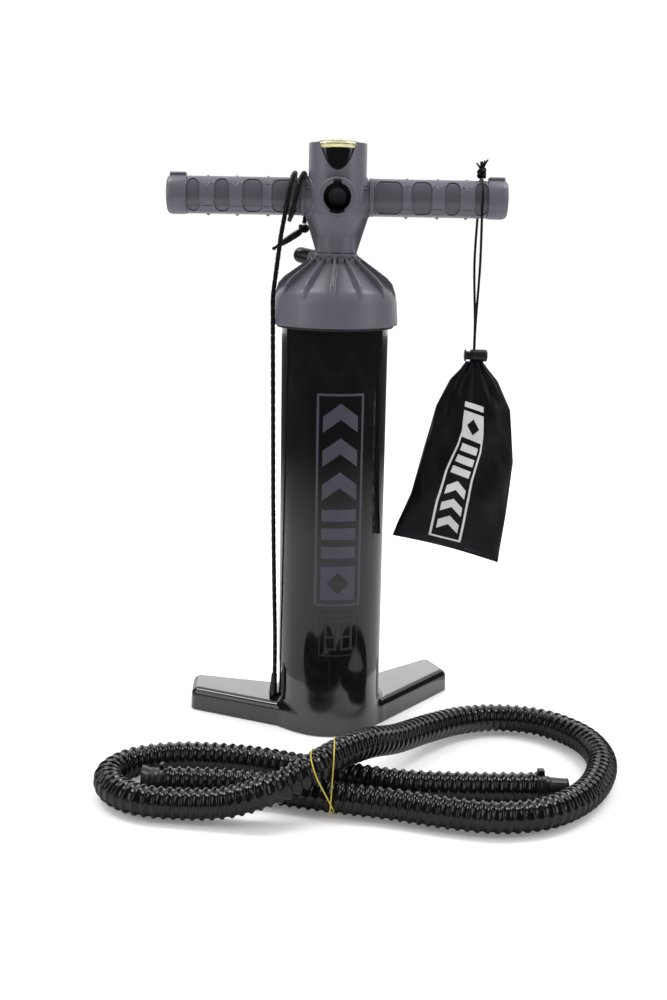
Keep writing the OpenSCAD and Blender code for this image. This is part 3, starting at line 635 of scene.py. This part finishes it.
def hull_line(centres, r, n=120):
    """The outline round circles, evenly spaced."""
    a = np.linspace(0, 2 * math.pi, 48, endpoint=False)
    pts = np.vstack([c + r * np.stack([np.cos(a), np.sin(a)], -1) for c in centres])
    order = np.argsort(pts[:, 0] + 1e-6 * pts[:, 1])
    pts = pts[order]

    def chain(points):
        out = []
        for p in points:
            while len(out) > 1 and np.cross(out[-1] - out[-2], p - out[-2]) <= 0:
                out.pop()
            out.append(p)
        return out[:-1]

    loop = np.array(chain(pts) + chain(pts[::-1]))
    loop = np.vstack([loop, loop[:1]])
    s = np.concatenate([[0], np.cumsum(np.linalg.norm(np.diff(loop, axis=0), axis=1))])
    even = np.linspace(0, s[-1], n, endpoint=False)
    return np.stack([np.interp(even, s, loop[:, i]) for i in range(2)], -1)


def closed_tube(line, r, n=8):
    """A tube round a closed line that lies nearly in a plane."""
    t = np.roll(line, -1, 0) - np.roll(line, 1, 0)
    t /= np.linalg.norm(t, axis=1)[:, None]
    flat = np.cross(line[0] - line.mean(0), t[0])
    flat /= np.linalg.norm(flat)
    u = np.cross(t, flat)
    a = np.arange(n) * 2 * math.pi / n
    pts = line[:, None] + r * (np.cos(a)[None, :, None] * u[:, None]
                               + np.sin(a)[None, :, None] * flat[None, None])
    m = len(line)
    faces = [(i * n + j, (i + 1) % m * n + j, (i + 1) % m * n + (j + 1) % n, i * n + (j + 1) % n)
             for i in range(m) for j in range(n)]
    return pts.reshape(-1, 3), faces


turns = []
for lean, top in BAND_TURNS:
    outline = hull_line(np.array(top + LOW_STRANDS, float), HOSE_R + 0.55)
    x = BAND_X + (outline[:, 1] - LIE) * math.sin(math.radians(lean))
    line = np.stack([x, outline[:, 0], np.maximum(outline[:, 1], 0.5)], -1)
    turns.append(closed_tube(line, BAND_R))
look("hose_band", merged(*turns))

# The fastening that holds the leash to the barrel's foot
look("leash_anchor", lathe(softened(
    [(0, 0), (4.0, 0), (4.3, 3), (4.0, 9), (3.3, 17), (3.0, 24.5), (2.5, 26), (0, 26)], 0.8), 32,
    (-59, -5.2, FOOT_H + 0.1), (0.05, 0, 1)), 50)


# ---- barrel and base ----
WING, WING_EDGE = [(136, 53), (130, 84), (30, 34), (44, -19)], 9
HUB_R, EDGE_R, RIM_W, RIM_H, BASE_CUT = 54.2, 7.5, 3.2, 3.1, 59.5
COS_T, SIN_T = math.cos(FOOT_TURN), math.sin(FOOT_TURN)


def footprint(u, v):
    """Distance to the base's outline, in its own turned frame."""
    wing = polygon(np.abs(u - FOOT_SHIFT), v, WING) - WING_EDGE
    return smin(wing, np.hypot(u, v) - HUB_R, 9)


def base_field(x, y, z):
    """The foot's rounded plate, flowing into the barrel's tube and open from below."""
    u, v = x * COS_T + y * SIN_T, -x * SIN_T + y * COS_T
    flat = footprint(u, v)
    r = np.hypot(x, y)
    draft = 0.035 * np.clip(z, 0, FOOT_H)
    plate = corner(flat + draft + EDGE_R, z - FOOT_H + EDGE_R, EDGE_R)
    fall = np.clip(z / 46, 0, 1)
    column = r - (BARREL_R + 2.1 * (1 - fall * fall * (3 - 2 * fall)))
    # the fillet is tight in front, where the tube stands at the plate's edge
    d = smin(plate, column, 0.6 + 6.4 * np.clip((v + 44) / 20, 0, 1))
    d = smax(d, -z, 1.0)
    d = cut(d, np.maximum(flat + RIM_W, z - RIM_H))
    return cut(d, np.maximum(r - BORE_R, FOOT_H - z))


foot_pts, foot_faces, foot_normals = solid(base_field, (-160, -64, -1.2), (152, 132, 62), 1.45)
keep = foot_pts[:, 2] < BASE_CUT
base = mesh_object("barrel_base_look", foot_pts, [f for f in foot_faces if all(keep[i] for i in f)],
                   M["housing_black"], normals=foot_normals)
tube = mesh_object("barrel_tube_look", *lathe(
    [(BARREL_R - 0.04, 56), (BARREL_R, 60), (BARREL_R, 130), (BARREL_R, 200), (BARREL_R, 300),
     (BARREL_R, 400), (BARREL_R, CAP_Z), (NECK_R, CAP_Z + 0.1), (NECK_R, BARREL_TOP - 1.5),
     (NECK_R - 1.5, BARREL_TOP), (BORE_R, BARREL_TOP), (BORE_R, 300), (BORE_R, 56)], 160, closed=True),
    M["housing_black"], 30)
stand_in(base, "barrel_housing")
follow(tube, "barrel")
look("barrel_gasket", lathe(softened(
    [(BARREL_R + 0.05, CAP_Z - 2.6), (58.2, CAP_Z - 2.6), (58.6, CAP_Z), (BARREL_R + 0.05, CAP_Z)], 0.6),
    120, closed=True), 40)

# ---- cap ----
PITCH_A = 2 * math.pi / RIBS
CONE_SLOPE = 0.821
CONE_STEEP = math.hypot(1, CONE_SLOPE)
BOSS_R, ROD_HOLE_R, WIPER_R, WIPER_Z = 8.6, 13.2, 16, 481.2
RIB_TOP = ([17, 21.6, CAP_R - 11, CAP_R - 5.5, CAP_R - 3, CAP_R], [-2.2, -2.2, -22.9, -29, -36.4, -43])
CAP_HOLLOW = [(0, CAP_Z - 2), (NECK_R + 0.4, CAP_Z - 2), (NECK_R + 0.4, BARREL_TOP + 2), (50.5, 451.8),
              (18, 479), (0, 479)]
plug_dir = np.array([math.cos(PLUG_AT) * math.cos(PLUG_RISE), math.sin(PLUG_AT) * math.cos(PLUG_RISE),
                     math.sin(PLUG_RISE)])
plug_origin = np.array([31 * math.cos(PLUG_AT), 31 * math.sin(PLUG_AT), CONE_TOP - 5.5])


def cap_field(x, y, z):
    """The screw cap: side and cone, ribs, the plug's boss, and the hollow inside."""
    r = np.hypot(x, y)
    a = (np.arctan2(y, x) - RIB_START + PITCH_A / 2) % PITCH_A - PITCH_A / 2
    across = r * np.sin(a)
    side = r - CAP_R + 1.6 * np.clip((z - CAP_Z - 3) / 24, 0, 2)
    cone = (z - CONE_TOP + 6 + (r - CONE_R) * CONE_SLOPE) / CONE_STEEP
    body = smax(smax(side, cone, 7.0), CAP_Z - z, 1.4)
    body = smin(body, smax(r - CONE_R, z - CONE_TOP, 1.0), 1.0)
    rib = smax(np.abs(across) - 1.5, (z - CONE_TOP - np.interp(r, *RIB_TOP)) / 1.35, 1.2)
    rib = np.maximum(np.maximum(rib, r - CAP_R + 2.2), SHOULDER_Z - 4 - z)
    d = smin(body, rib, 1.3)
    # small blocks between the ribs, against the neck
    mid = (np.arctan2(y, x) - RIB_START) % PITCH_A - PITCH_A / 2
    block = np.maximum(np.maximum(np.abs(r * np.sin(mid)) - 2.9, r - 25.6), z - (CONE_TOP - 4.6))
    d = smin(d, np.maximum(block, SHOULDER_Z - z), 0.5)
    p = [x - plug_origin[0], y - plug_origin[1], z - plug_origin[2]]
    along = sum(c * k for c, k in zip(p, plug_dir))
    away = np.sqrt(np.maximum(sum(c * c for c in p) - along**2, 0))
    d = smin(d, np.maximum(np.maximum(away - BOSS_R, np.abs(along + 7) - 7), CONE_R - r), 1.2)
    d = cut(d, np.maximum(away - BOSS_R + 0.1, -along))
    d = cut(d, polygon(r, z, CAP_HOLLOW))
    d = cut(d, r - ROD_HOLE_R)
    return cut(d, np.maximum(r - WIPER_R, WIPER_Z - z))


cap_pts, cap_faces, cap_normals = solid(cap_field, (-64, -64, CAP_Z - 2), (64, 64, CONE_TOP + 2), 0.95)
look("cap", (cap_pts, cap_faces), normals=cap_normals)

plug_knob = lathe(softened([(0, 0.4), (7.4, 0.4), (8, 1.2), (8, 10), (8, 14), (7.4, 17), (5.6, 19.4),
                            (3, 20.6), (0, 21)], 0.8), 48, plug_origin, plug_dir)
plug_stem = lathe(softened([(0, -11), (4.6, -11), (4.95, -10), (4.95, -6.1), (3.8, -6), (3.8, -3.5),
                            (4.95, -3.4), (4.95, 1), (0, 1)], 0.3), 40, plug_origin, plug_dir)
look("action_plug", merged(plug_knob, plug_stem), 45)


# ---- T-head ----
HEAD_LINE = [(0, HEAD_Z), (NECK_HEAD_R, HEAD_Z)]
HEAD_LINE += [(NECK_HEAD_R + (HEAD_R - NECK_HEAD_R) * t * t * (3 - 2 * t), HEAD_Z + 15 + 28 * t)
              for t in np.linspace(0, 1, 12)]
HEAD_LINE += [(HEAD_R, HEAD_TOP), (0, HEAD_TOP)]
NOTCH_R, NOTCH_H = 17.4, 26
NOTCH_CURVE = [(NOTCH_R * i / 8, HEAD_TOP - NOTCH_H + NOTCH_H * (abs(i) / 8) ** 2.2)
               for i in range(8, -9, -1)]
NOTCH_LINE = [(NOTCH_R, HEAD_TOP + 8), *NOTCH_CURVE, (-NOTCH_R, HEAD_TOP + 8)]
ARM_R, ARM_WIDE_R, ARM_STEP_X, PORT_BODY_R, SLOT_DEPTH = 17.0, 18.4, 31.2, 18.2, 7


def head_field(x, y, z):
    """The T-head: a turned body with two arms, a port in front, side webs and a gauge pocket."""
    r, h = np.hypot(x, y), z - HANDLE_Z
    ax, ra, rp = np.abs(x), np.hypot(y, h), np.hypot(x, h)
    d = polygon(r, z, [(a - 1 if a > 1 else -3, b + (0 if b < HEAD_TOP else -1)) for a, b in HEAD_LINE]) - 1
    d = np.maximum(d, HEAD_Z - z)
    # a proud collar round the root of each arm
    d = smin(d, smax(r - HEAD_R - 1.0, ra - 19.4, 0.8), 0.5)
    arm = np.where(ax < ARM_STEP_X, ARM_R, ARM_WIDE_R)
    d = smin(d, smax(ra - arm, ax - SOCKET_OUT, 0.8), 0.5)
    d = smin(d, np.maximum(smax(rp - PORT_BODY_R, -y - PORT_FACE, 1.4), y), 1.2)
    web = smax(np.abs(y) - 2.6, ax - (20 + (z - HEAD_Z) * 11.5 / 36.8), 1.2)
    d = smin(d, np.maximum(np.maximum(web, HEAD_Z - z), z - (HANDLE_Z - 12)), 1.6)
    # bore for the hose, with its bevel, and a slot above and below for the hose's lug
    d = cut(d, np.maximum(rp - PORT_R, y + PORT_FACE - PORT_DEPTH), 0.5)
    d = cut(d, rp - (PORT_R + 2.2 + np.minimum(-y - PORT_FACE, 0)), 0.4)
    low = smax(np.maximum(np.abs(x) - 3.9, rp - 16.5), -h, 0.3)
    high = smax(np.maximum(np.abs(x) - 7.2, rp - 15.6), h, 0.3)
    d = cut(d, np.maximum(np.minimum(low, high), np.abs(y + PORT_FACE) - SLOT_DEPTH), 0.5)
    d = cut(d, np.maximum(rp - 9, y + 12))
    # pocket for the gauge, window in front of it, sockets for the arms
    d = cut(d, np.maximum(r - POCKET_R, POCKET_Z - z), 0.9)
    d = cut(d, np.maximum(polygon(x, z, NOTCH_LINE), y), 1.2)
    return cut(d, np.maximum(ra - TUBE_R - 0.02, 24 - ax))


head_pts, head_faces, head_normals = solid(
    head_field, (-38, -39, HEAD_Z - 1.5), (38, 31, HEAD_TOP + 2), 0.78)
look("t_head", (head_pts, head_faces), normals=head_normals)
# Painted shade: a thin black sleeve in the port and the passage behind it, closed by a black disc at its far
# end, darkens the bore where it lies in shade
painted_shade_sleeve = mesh_object("port_painted_shade", *lathe(
    [(12.97, 3.4), (13.12, 3.4), (13.12, 22.9), (8.98, 22.9), (8.98, 42), (0.1, 42), (0.1, 41.8),
     (8.8, 41.8), (8.8, 22.7), (12.97, 22.7)], 72, (0, -PORT_FACE, HANDLE_Z), (0, 1, 0), closed=True),
    M["seal_rubber"], 40)
follow(painted_shade_sleeve, "handle")


# ---- grips, the tubes inside them and the end caps ----
CORE_R = 17.1


def grip_field(x, y, z):
    """A hollow grip with its row of windows, small studs above and below, and two nubs in front."""
    h = z - HANDLE_Z
    ra = np.hypot(y, h)
    d = smax(ra - GRIP_R, np.maximum(SOCKET_OUT + 0.3 - x, x - GRIP_END), 0.6)
    d = np.maximum(d, CORE_R + 0.05 - ra)
    for low, high in WINDOWS:
        half, mid = (high - low) / 2, (high + low) / 2
        turn_r = min(6.5, half - 0.2)
        hole = corner(np.abs(x - mid) - half + turn_r, np.abs(h) - 15.3 + turn_r, turn_r)
        d = cut(d, hole, 0.5)
        # a fine raised lip round each window
        d = smin(d, np.maximum(np.abs(hole - 0.8) - 0.45, np.abs(ra - GRIP_R + 0.1) - 0.3), 0.3)
    for x0 in (67.5, 97.8, 126.0):
        for z0, size in ((-GRIP_R - 0.1, 1.5), (GRIP_R - 0.1, 1.1)):
            d = smin(d, np.sqrt((x - x0) ** 2 + y**2 + (h - z0) ** 2) - size, 0.8)
    # a small v-shaped nub on the front
    for x0 in (97.8, 126.0):
        v = np.abs(np.abs(x - x0) - 0.5 * (h - 6.5)) + 2 * np.maximum(np.abs(h - 9) - 2.2, 0)
        d = np.where(y < 0, smin(d, np.maximum(v - 0.7, np.abs(ra - GRIP_R) - 0.4), 0.5), d)
    return d


grip_pts, grip_faces, _ = solid(grip_field, (34, -20.5, HANDLE_Z - 20.5),
                                (148, 20.5, HANDLE_Z + 20.5), 0.72)
for side, word in ((1, "right"), (-1, "left")):
    at, out = (0, 0, HANDLE_Z), (side, 0, 0)
    look(f"grip_{word}", (grip_pts * (side, 1, 1), [f[::side] for f in grip_faces]), 40)
    look(f"arm_tube_{word}", lathe(
        [(TUBE_R, 25), (TUBE_R, SOCKET_OUT + 0.4), (CORE_R, SOCKET_OUT + 0.5), (CORE_R, GRIP_END - 0.2),
         (TUBE_R, GRIP_END - 0.1), (TUBE_R, END_X - 4), (TUBE_R - 2, END_X - 4), (TUBE_R - 2, 25)],
        80, at, out, closed=True), 35)
    end_ring = lathe(softened(
        [(TUBE_R + 0.05, GRIP_END), (18.4, GRIP_END), (18.7, GRIP_END + 1.4), (18.8, GRIP_END + 4),
         (18.8, END_X - 4.5), (17.9, END_X - 1.6), (16, END_X), (0, END_X), (0, END_X - 3),
         (TUBE_R, END_X - 3)], 1.1), 88, at, out, closed=True)
    tab = box((16.2, 10, 4.4), (side * (END_X - 10.6), 0, HANDLE_Z + 19.2), 1.1)
    look(f"end_cap_{word}", merged(end_ring, tab), 35)


# ---- gauge ----
BEZEL_R = 22.2


def gauge_field(x, y, z):
    """The gauge's black body: a cup in the pocket with a front that fills the head's window."""
    r = np.hypot(x, y)
    d = smax(r - POCKET_R + 0.15, z - GAUGE_TOP, 1.0)
    d = np.maximum(d, POCKET_Z - z)
    front = np.maximum(np.maximum(polygon(x, z, NOTCH_LINE) + 0.3, y), z - GAUGE_TOP)
    d = np.minimum(d, smax(front, r - HEAD_R + 0.9, 1.2))
    return cut(d, np.maximum(r - BEZEL_R, GAUGE_TOP - 3 - z))


gauge_pts, gauge_faces, gauge_normals = solid(
    gauge_field, (-29, -30, POCKET_Z - 1.5), (29, 28, GAUGE_TOP + 1.5), 0.8)
look("gauge_body", (gauge_pts, gauge_faces), normals=gauge_normals, mat=GAUGE_BLACK)
look("gauge_lens", lathe(softened(
    [(0, 7.4), (12, 6.9), (18.4, 5.7), (21.4, 4.2), (BEZEL_R, 2.6), (BEZEL_R, 0), (25.3, 0), (25.3, 3),
     (23.6, 5.4), (19, 7.2), (12, 8.4), (0, 8.9)], 0.9), 96, (0, 0, GAUGE_TOP)), 40)
look("gauge_dial", lathe([(4, -3), (22.1, -3), (22.1, -2), (4, -2)], 96, (0, 0, GAUGE_TOP), closed=True), 35)

# The dial's print: 31 ticks over 270 degrees, and a number at every fifth
DIAL_FROM, DIAL_STEP, NUMBER_R = 225, 9, 11.8
ticks = []
for i in range(31):
    a = math.radians(DIAL_FROM - DIAL_STEP * i)
    r0, w = (14.5, 0.9) if i % 5 == 0 else (17.2, 0.4)
    r1 = 20.4
    c, s = math.cos(a), math.sin(a)
    turn = np.array([[c, -s, 0], [s, c, 0], [0, 0, 1]])
    mid = np.array([(r0 + r1) / 2 * c, (r0 + r1) / 2 * s, GAUGE_TOP - 1.96])
    ticks.append(box((r1 - r0, w, 0.08), mid, 0.02, turn))
follow(mesh_object("gauge_marks", *merged(*ticks), DIAL_MARK, 35), "handle")
for number in range(0, 31, 5):
    curve = bpy.data.curves.new(f"gauge_number_{number}", "FONT")
    curve.body, curve.align_x, curve.align_y = str(number), "CENTER", "CENTER"
    curve.size, curve.extrude = 3.8 * MM, 0.03 * MM
    a = math.radians(DIAL_FROM - DIAL_STEP * number)
    text = placed(curve.name, curve)
    text.location = Vector((NUMBER_R * math.cos(a), NUMBER_R * math.sin(a), GAUGE_TOP - 1.9)) * MM
    bpy.context.view_layer.update()
    me = bpy.data.meshes.new_from_object(text)
    me.transform(text.matrix_world)
    bpy.data.objects.remove(text)
    me.materials.clear()
    me.materials.append(DIAL_MARK)
    follow(placed(curve.name, me), "handle")


# ---- bag: one closed shell of cloth, gathered at the neck, with flat side seams and a filled middle ----
def bag_outline(v):
    """Left and right edge and half thickness at a share v of the way down from the neck."""
    at = [0, 0.04, 0.10, 0.25, 0.5, 0.75, 0.93, 1]
    left = np.interp(v, at, [132, 127, 117, 104, 92.5, 81.5, 68, 63.5])
    right = np.interp(v, at, [149, 155, 165, 179, 184.5, 180, 175.5, 174])
    z_left = np.interp(v, [0, 1], [383.5, 202])
    z_right = np.interp(v, [0, 0.25, 1], [383.5, 335, 174.5])
    half = np.interp(v, [0, 0.05, 0.15, 0.35, 0.7, 0.92, 1], [5.8, 7.5, 10.5, 15, 17, 9, 1.2])
    return left, right, z_left, z_right, half


BAG_ROWS, BAG_COLS = 96, 60
rows = []
for i in range(BAG_ROWS + 1):
    v = i / BAG_ROWS
    left, right, z_left, z_right, half = (float(k) for k in bag_outline(v))
    for j in range(2 * BAG_COLS):
        a = math.pi * j / BAG_COLS
        u = 0.5 - 0.5 * math.cos(a)
        s = math.sin(a)
        pleat = math.exp(-v / 0.12) * (1.6 * math.sin(11 * a) + 0.8 * math.sin(23 * a + 1))
        fold = 1.3 * math.sin(5 * a + 14 * v) + 0.9 * math.sin(9 * a - 25 * v + 1.2)
        fold += 3.0 * math.exp(-((v - 0.32 - 0.25 * (u - 0.62)) / 0.06) ** 2 - ((u - 0.72) / 0.16) ** 2)
        fold *= math.sin(math.pi * v) ** 0.5
        y = -(half * np.sign(s) * abs(s) ** 0.8) + (pleat + fold) * -np.sign(s) * min(1, 3 * abs(s))
        x = left + (right - left) * u
        z = z_left + (z_right - z_left) * u + 2.5 * math.sin(math.pi * u) * (v > 0.97)
        rows.append((x, y, z))
n = 2 * BAG_COLS
bag_faces = [(i * n + j, (i + 1) * n + j, (i + 1) * n + (j + 1) % n, i * n + (j + 1) % n)
             for i in range(BAG_ROWS) for j in range(n)]
bag_faces.append(tuple(range(n)))
low = BAG_ROWS * n
bag_faces += [(low + j, low + n - j, low + n - j - 1, low + j + 1) for j in range(1, BAG_COLS - 1)]
bag = look("bag", (rows, bag_faces), 60)

# ---- cord lock ----
LOCK_Z, LOCK_R, COIL_R, WIRE_R, COIL_TURNS = 389.5, 6.0, 3.2, 0.35, 4


def along_lock(profile, r):
    """A softened outline turned round the lock's axis, its heights along x."""
    return lathe(softened(profile, r), 48, (0, 0, LOCK_Z), (1, 0, 0))


lock_tube = along_lock([(4.5, 136.4), (5.4, 136), (LOCK_R, 136.8), (LOCK_R, 152), (LOCK_R - 0.5, 153),
                        (3.6, 153.4), (3.4, 152.8), (0, 152.8)], 0.5)
ribs = [along_lock([(5.6, x), (6.25, x + 0.4), (6.25, x + 1.2), (5.6, x + 1.6)], 0.3)
        for x in np.arange(5) * 2.4 + 139]
look("cord_lock", merged(lock_tube, *ribs), 50)
look("lock_plunger", along_lock([(0, 129.6), (3, 129.9), (5.8, 130.4), (LOCK_R, 131), (LOCK_R, 131.8),
                                 (5.2, 132), (4.25, 132.2), (4.25, 146), (0, 146)], 0.4), 50)
a = np.linspace(0, 2 * math.pi * COIL_TURNS, 97)
coil = np.stack([146.5 + 4.2 * a / a[-1], COIL_R * np.cos(a), LOCK_Z + COIL_R * np.sin(a)], -1)
spring = look("lock_spring", sweep(coil, lambda i, a: WIRE_R, 8))
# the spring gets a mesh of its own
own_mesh(spring)


# ---- printed marks: flat shapes laid on the barrel and on the bag ----
def patches(name, shapes, place, mat, step=2.0):
    """Four-cornered flat shapes [(u, v) x 4], split finely and laid on a surface."""
    parts = []
    for quad in shapes:
        a, b, c, d = (np.array(p, float) for p in quad)
        nu = max(int(max(np.linalg.norm(b - a), np.linalg.norm(c - d)) / step), 1)
        nv = max(int(max(np.linalg.norm(d - a), np.linalg.norm(c - b)) / step), 1)
        u, v = np.meshgrid(np.linspace(0, 1, nu + 1), np.linspace(0, 1, nv + 1), indexing="ij")
        u, v = u[..., None], v[..., None]
        flat = (1 - u) * (1 - v) * a + u * (1 - v) * b + u * v * c + (1 - u) * v * d
        pts = place(flat.reshape(-1, 2))
        corners = [i * (nv + 1) + j for i in range(nu) for j in range(nv)]
        parts.append((pts, [(k, k + nv + 1, k + nv + 2, k + 1) for k in corners]))
    return mesh_object(name, *merged(*parts), mat)


def bar(u0, u1, v0, v1):
    """One upright bar."""
    return [(u0, v0), (u1, v0), (u1, v1), (u0, v1)]


def frame_bars(u0, u1, v0, v1, w):
    """The four sides of a frame."""
    return [bar(u0, u1, v0, v0 + w), bar(u0, u1, v1 - w, v1), bar(u0, u0 + w, v0 + w, v1 - w),
            bar(u1 - w, u1, v0 + w, v1 - w)]


def chevron(u0, u1, v, h, w):
    """The two halves of a chevron that points up."""
    m = (u0 + u1) / 2
    return [[(u0, v), (m, v + h), (m, v + h + w), (u0, v + w)],
            [(m, v + h), (u1, v), (u1, v + w), (m, v + h + w)]]


def diamond_tile(u0, u1, v0, v1, inset=6.0):
    """A filled tile with a diamond left open in its middle."""
    mu, mv = (u0 + u1) / 2, (v0 + v1) / 2
    n, e, s, w = (mu, v1 - inset), (u1 - inset, mv), (mu, v0 + inset), (u0 + inset, mv)
    return [[(u0, v1), (mu, v1), n, w], [(u0, v1), w, w, (u0, mv)], [(mu, v1), (u1, v1), e, n],
            [(u1, v1), (u1, mv), e, e], [(u1, mv), (u1, v0), (mu, v0), e], [(mu, v0), s, e, e],
            [(mu, v0), (u0, v0), w, s], [(u0, v0), (u0, mv), w, w]]


def on_barrel(flat):
    """Flat (u, v) points laid round the barrel's front: u runs round it, v is the height."""
    a = flat[:, 0] / BARREL_R - math.pi / 2
    r = BARREL_R + 0.05
    return np.stack([r * np.cos(a), r * np.sin(a), flat[:, 1]], -1)


U0, U1 = -16.5, 31.5
outline = frame_bars(U0, U1, 140, 355.5, 2.4)
A0, A1 = U0 + 6.5, U1 - 6.5
symbols = [q for v in (249, 283, 317) for q in chevron(A0, A1, v, 13, 16)]
symbols += [bar(A0, A1, 190 + 19 * i, 202 + 19 * i) for i in range(3)]
symbols += diamond_tile(A0, A1, 146.5, 181.5)
print_dark = patches("barrel_print", outline + symbols, on_barrel, PRINT_GREY)
small = frame_bars(U0 + 5.5, U1 - 2, 87, 128, 1.0)
small += [bar(U0 + 7 + 5 * i, U0 + 10 + 5 * i, 132, 135) for i in range(7)]
for k in (0, 1):
    c = U0 + 11 + 16.5 * k
    small += frame_bars(c, c + 12.5, 93, 122, 2.6) + [bar(c + 2.6, c + 9.9, 106.2, 108.8)]
print_small = patches("barrel_print_small", small, on_barrel, PRINT_FAINT)
for o in (print_dark, print_small):
    follow(o, "barrel")

bag_tree = BVHTree.FromPolygons([v.co for v in bag.data.vertices],
                                [tuple(p.vertices) for p in bag.data.polygons])
BU, BV, PRINT_LIFT = 14.0, 140.0, 0.35
PRINT_AT = [0, 36.4, 66.5, 95.5, 110.2, BV]
PRINT_MID = [[116.7, 122.3, 128.3, 137.6, 140.3, 141.3], [201.0, 238.7, 269.3, 297.3, 312.0, 342.1]]
PRINT_SIDE = [[16.6, 16.0, 14.2, 12.2, 10.6, 9.4], [-4.0, -4.4, -5.2, -4.6, -3.8, -2.9]]


def on_bag(flat):
    """The print's middle line bends with the bag's front, and the print narrows upwards."""
    out = []
    for u, v in flat:
        x, z = (np.interp(v, PRINT_AT, m) + u / BU * np.interp(v, PRINT_AT, k)
                for m, k in zip(PRINT_MID, PRINT_SIDE))
        hit = bag_tree.ray_cast(Vector((x, -80, z)) * MM, Vector((0, 1, 0)))
        y = hit[0].y / MM if hit[0] else -10
        out.append((x, y - PRINT_LIFT, z))
    return np.array(out)


marks = frame_bars(-BU, BU, 0, 131, 2.0) + [bar(-BU, BU, 134.5, BV)]
marks += [q for v in (9, 27, 45) for q in chevron(-BU + 5, BU - 4.5, v, 7, 9)]
marks += [bar(-BU + 5, BU - 4.5, 67 + 12 * i, 74.5 + 12 * i) for i in range(3)]
marks += diamond_tile(-BU + 1, BU - 1, 104, 130, 5.0)
follow(patches("bag_print", marks, on_bag, PRINT_WHITE, 1.6), "bag")

# ---- CAD nodes that are shown keep their shape and get their slot's material ----
for name, o in nodes.items():
    if not o.hide_render:
        o.data.materials.clear()
        o.data.materials.append(M[slot_of[name]])

# ---- floor, backdrop and light ----
scene = bpy.context.scene
scene.view_settings.view_transform = "Standard"
world = bpy.data.worlds.new("studio")
scene.world = world
world.use_nodes = True
sky = world.node_tree.nodes["Background"]
sky.inputs["Color"].default_value = (1, 1, 1, 1)
sky.inputs["Strength"].default_value = 1.0

floor_mat = material("floor_white", (0.93, 0.93, 0.93), 0.9, vary=0.002, bump=0.0,
                     Emission_Color=(1, 1, 1, 1), Emission_Strength=0.16)


def card(name, points, faces, mat, **seen):
    """A flat piece of the stage; seen says which kinds of ray meet it."""
    me = bpy.data.meshes.new(name)
    me.from_pydata(points, [], faces)
    me.materials.append(mat)
    o = placed(name, me)
    for key, value in seen.items():
        setattr(o, f"visible_{key}", value)
    return o


def plane(name, size, at, facing, mat, **seen):
    """An oblong card at a place, facing a direction."""
    w, h = size[0] / 2, size[1] / 2
    o = card(name, [(-w, -h, 0), (w, -h, 0), (w, h, 0), (-w, h, 0)], [(0, 1, 2, 3)], mat, **seen)
    o.matrix_world = Matrix.Translation(at) @ Vector(facing).to_track_quat("Z", "Y").to_matrix().to_4x4()


plane("floor", (14, 14), (0, 3, -0.0005), (0, 0, 1), floor_mat)

# Cards that only the object's gloss shows: dark ones in front, at the sides and above, a light one behind,
# and rings on the floor
card_mat = material("card_dark", (0.012, 0.012, 0.012), 0.9, bump=0.0)
GLOSS_ONLY = dict(camera=False, shadow=False, diffuse=False)
plane("card_front", (5.0, 3.6), (0.1, -2.7, 1.85), (0, 1, 0), card_mat, camera=False, shadow=False)
plane("card_left", (4.4, 3.6), (-2.4, -0.5, 1.85), (1, 0, 0), card_mat, **GLOSS_ONLY)
plane("card_right", (4.4, 3.6), (2.4, -0.5, 1.85), (-1, 0, 0), card_mat, **GLOSS_ONLY)
plane("card_over", (4.8, 3.6), (0, -0.9, 3.65), (0, 0, -1), card_mat, **GLOSS_ONLY)


def ring_card(name, inner, outer, mat, n=48):
    """A card round the pump just over the floor, open for 30 degrees behind it."""
    turn = [math.radians(-90 - 165 + 330 * i / n) for i in range(n + 1)]
    card(name, [(r * math.cos(a), r * math.sin(a), 0.004) for a in turn for r in (inner, outer)],
         [(2 * i, 2 * i + 1, 2 * i + 3, 2 * i + 2) for i in range(n)], mat, **GLOSS_ONLY)


card_light = material("card_light", (1, 1, 1), 0.9, bump=0.0, Emission_Color=(1, 1, 1, 1),
                      Emission_Strength=1.0)
plane("card_back", (2.6, 0.62), (0, 2.6, 1.04), (0, -1, -0.38), card_light, **GLOSS_ONLY)
ring_card("card_floor_far", 1.60, 4.4, card_mat)
ring_card("card_floor_inner", 0.18, 0.80, material("card_grey", (0.5, 0.49, 0.5), 0.9, bump=0.0))
for i in range(10):    # the floor's reflection fades in bands, light near the pump and dark further out
    ring_card(f"card_floor_{i}", 0.80 + 0.08 * i, 0.88 + 0.08 * i,
              material(f"card_grey_{i}", (0.48 * (1 - (i + 0.5) / 10) ** 1.3 + 0.012,) * 3, 0.9, bump=0.0))


def area(name, size, power, at, target):
    """A soft oblong lamp that faces its target."""
    lamp = bpy.data.lights.new(name, "AREA")
    lamp.shape, lamp.size, lamp.size_y, lamp.energy = "RECTANGLE", size[0], size[1], power
    o = placed(name, lamp)
    o.location = at
    o.rotation_euler = (Vector(target) - Vector(at)).to_track_quat("-Z", "Y").to_euler()


area("light_up_left", (0.55, 1.2), 19, (-1.05, 0.25, 2.3), (0, 0, 0.3))
area("light_up_right", (0.55, 1.2), 19, (1.05, 0.25, 2.3), (0, 0, 0.3))
area("light_left", (0.9, 1.6), 8, (-1.7, -0.9, 1.1), (0, 0, 0.35))
area("light_right", (0.9, 1.6), 8, (1.7, -0.9, 1.1), (0, 0, 0.35))
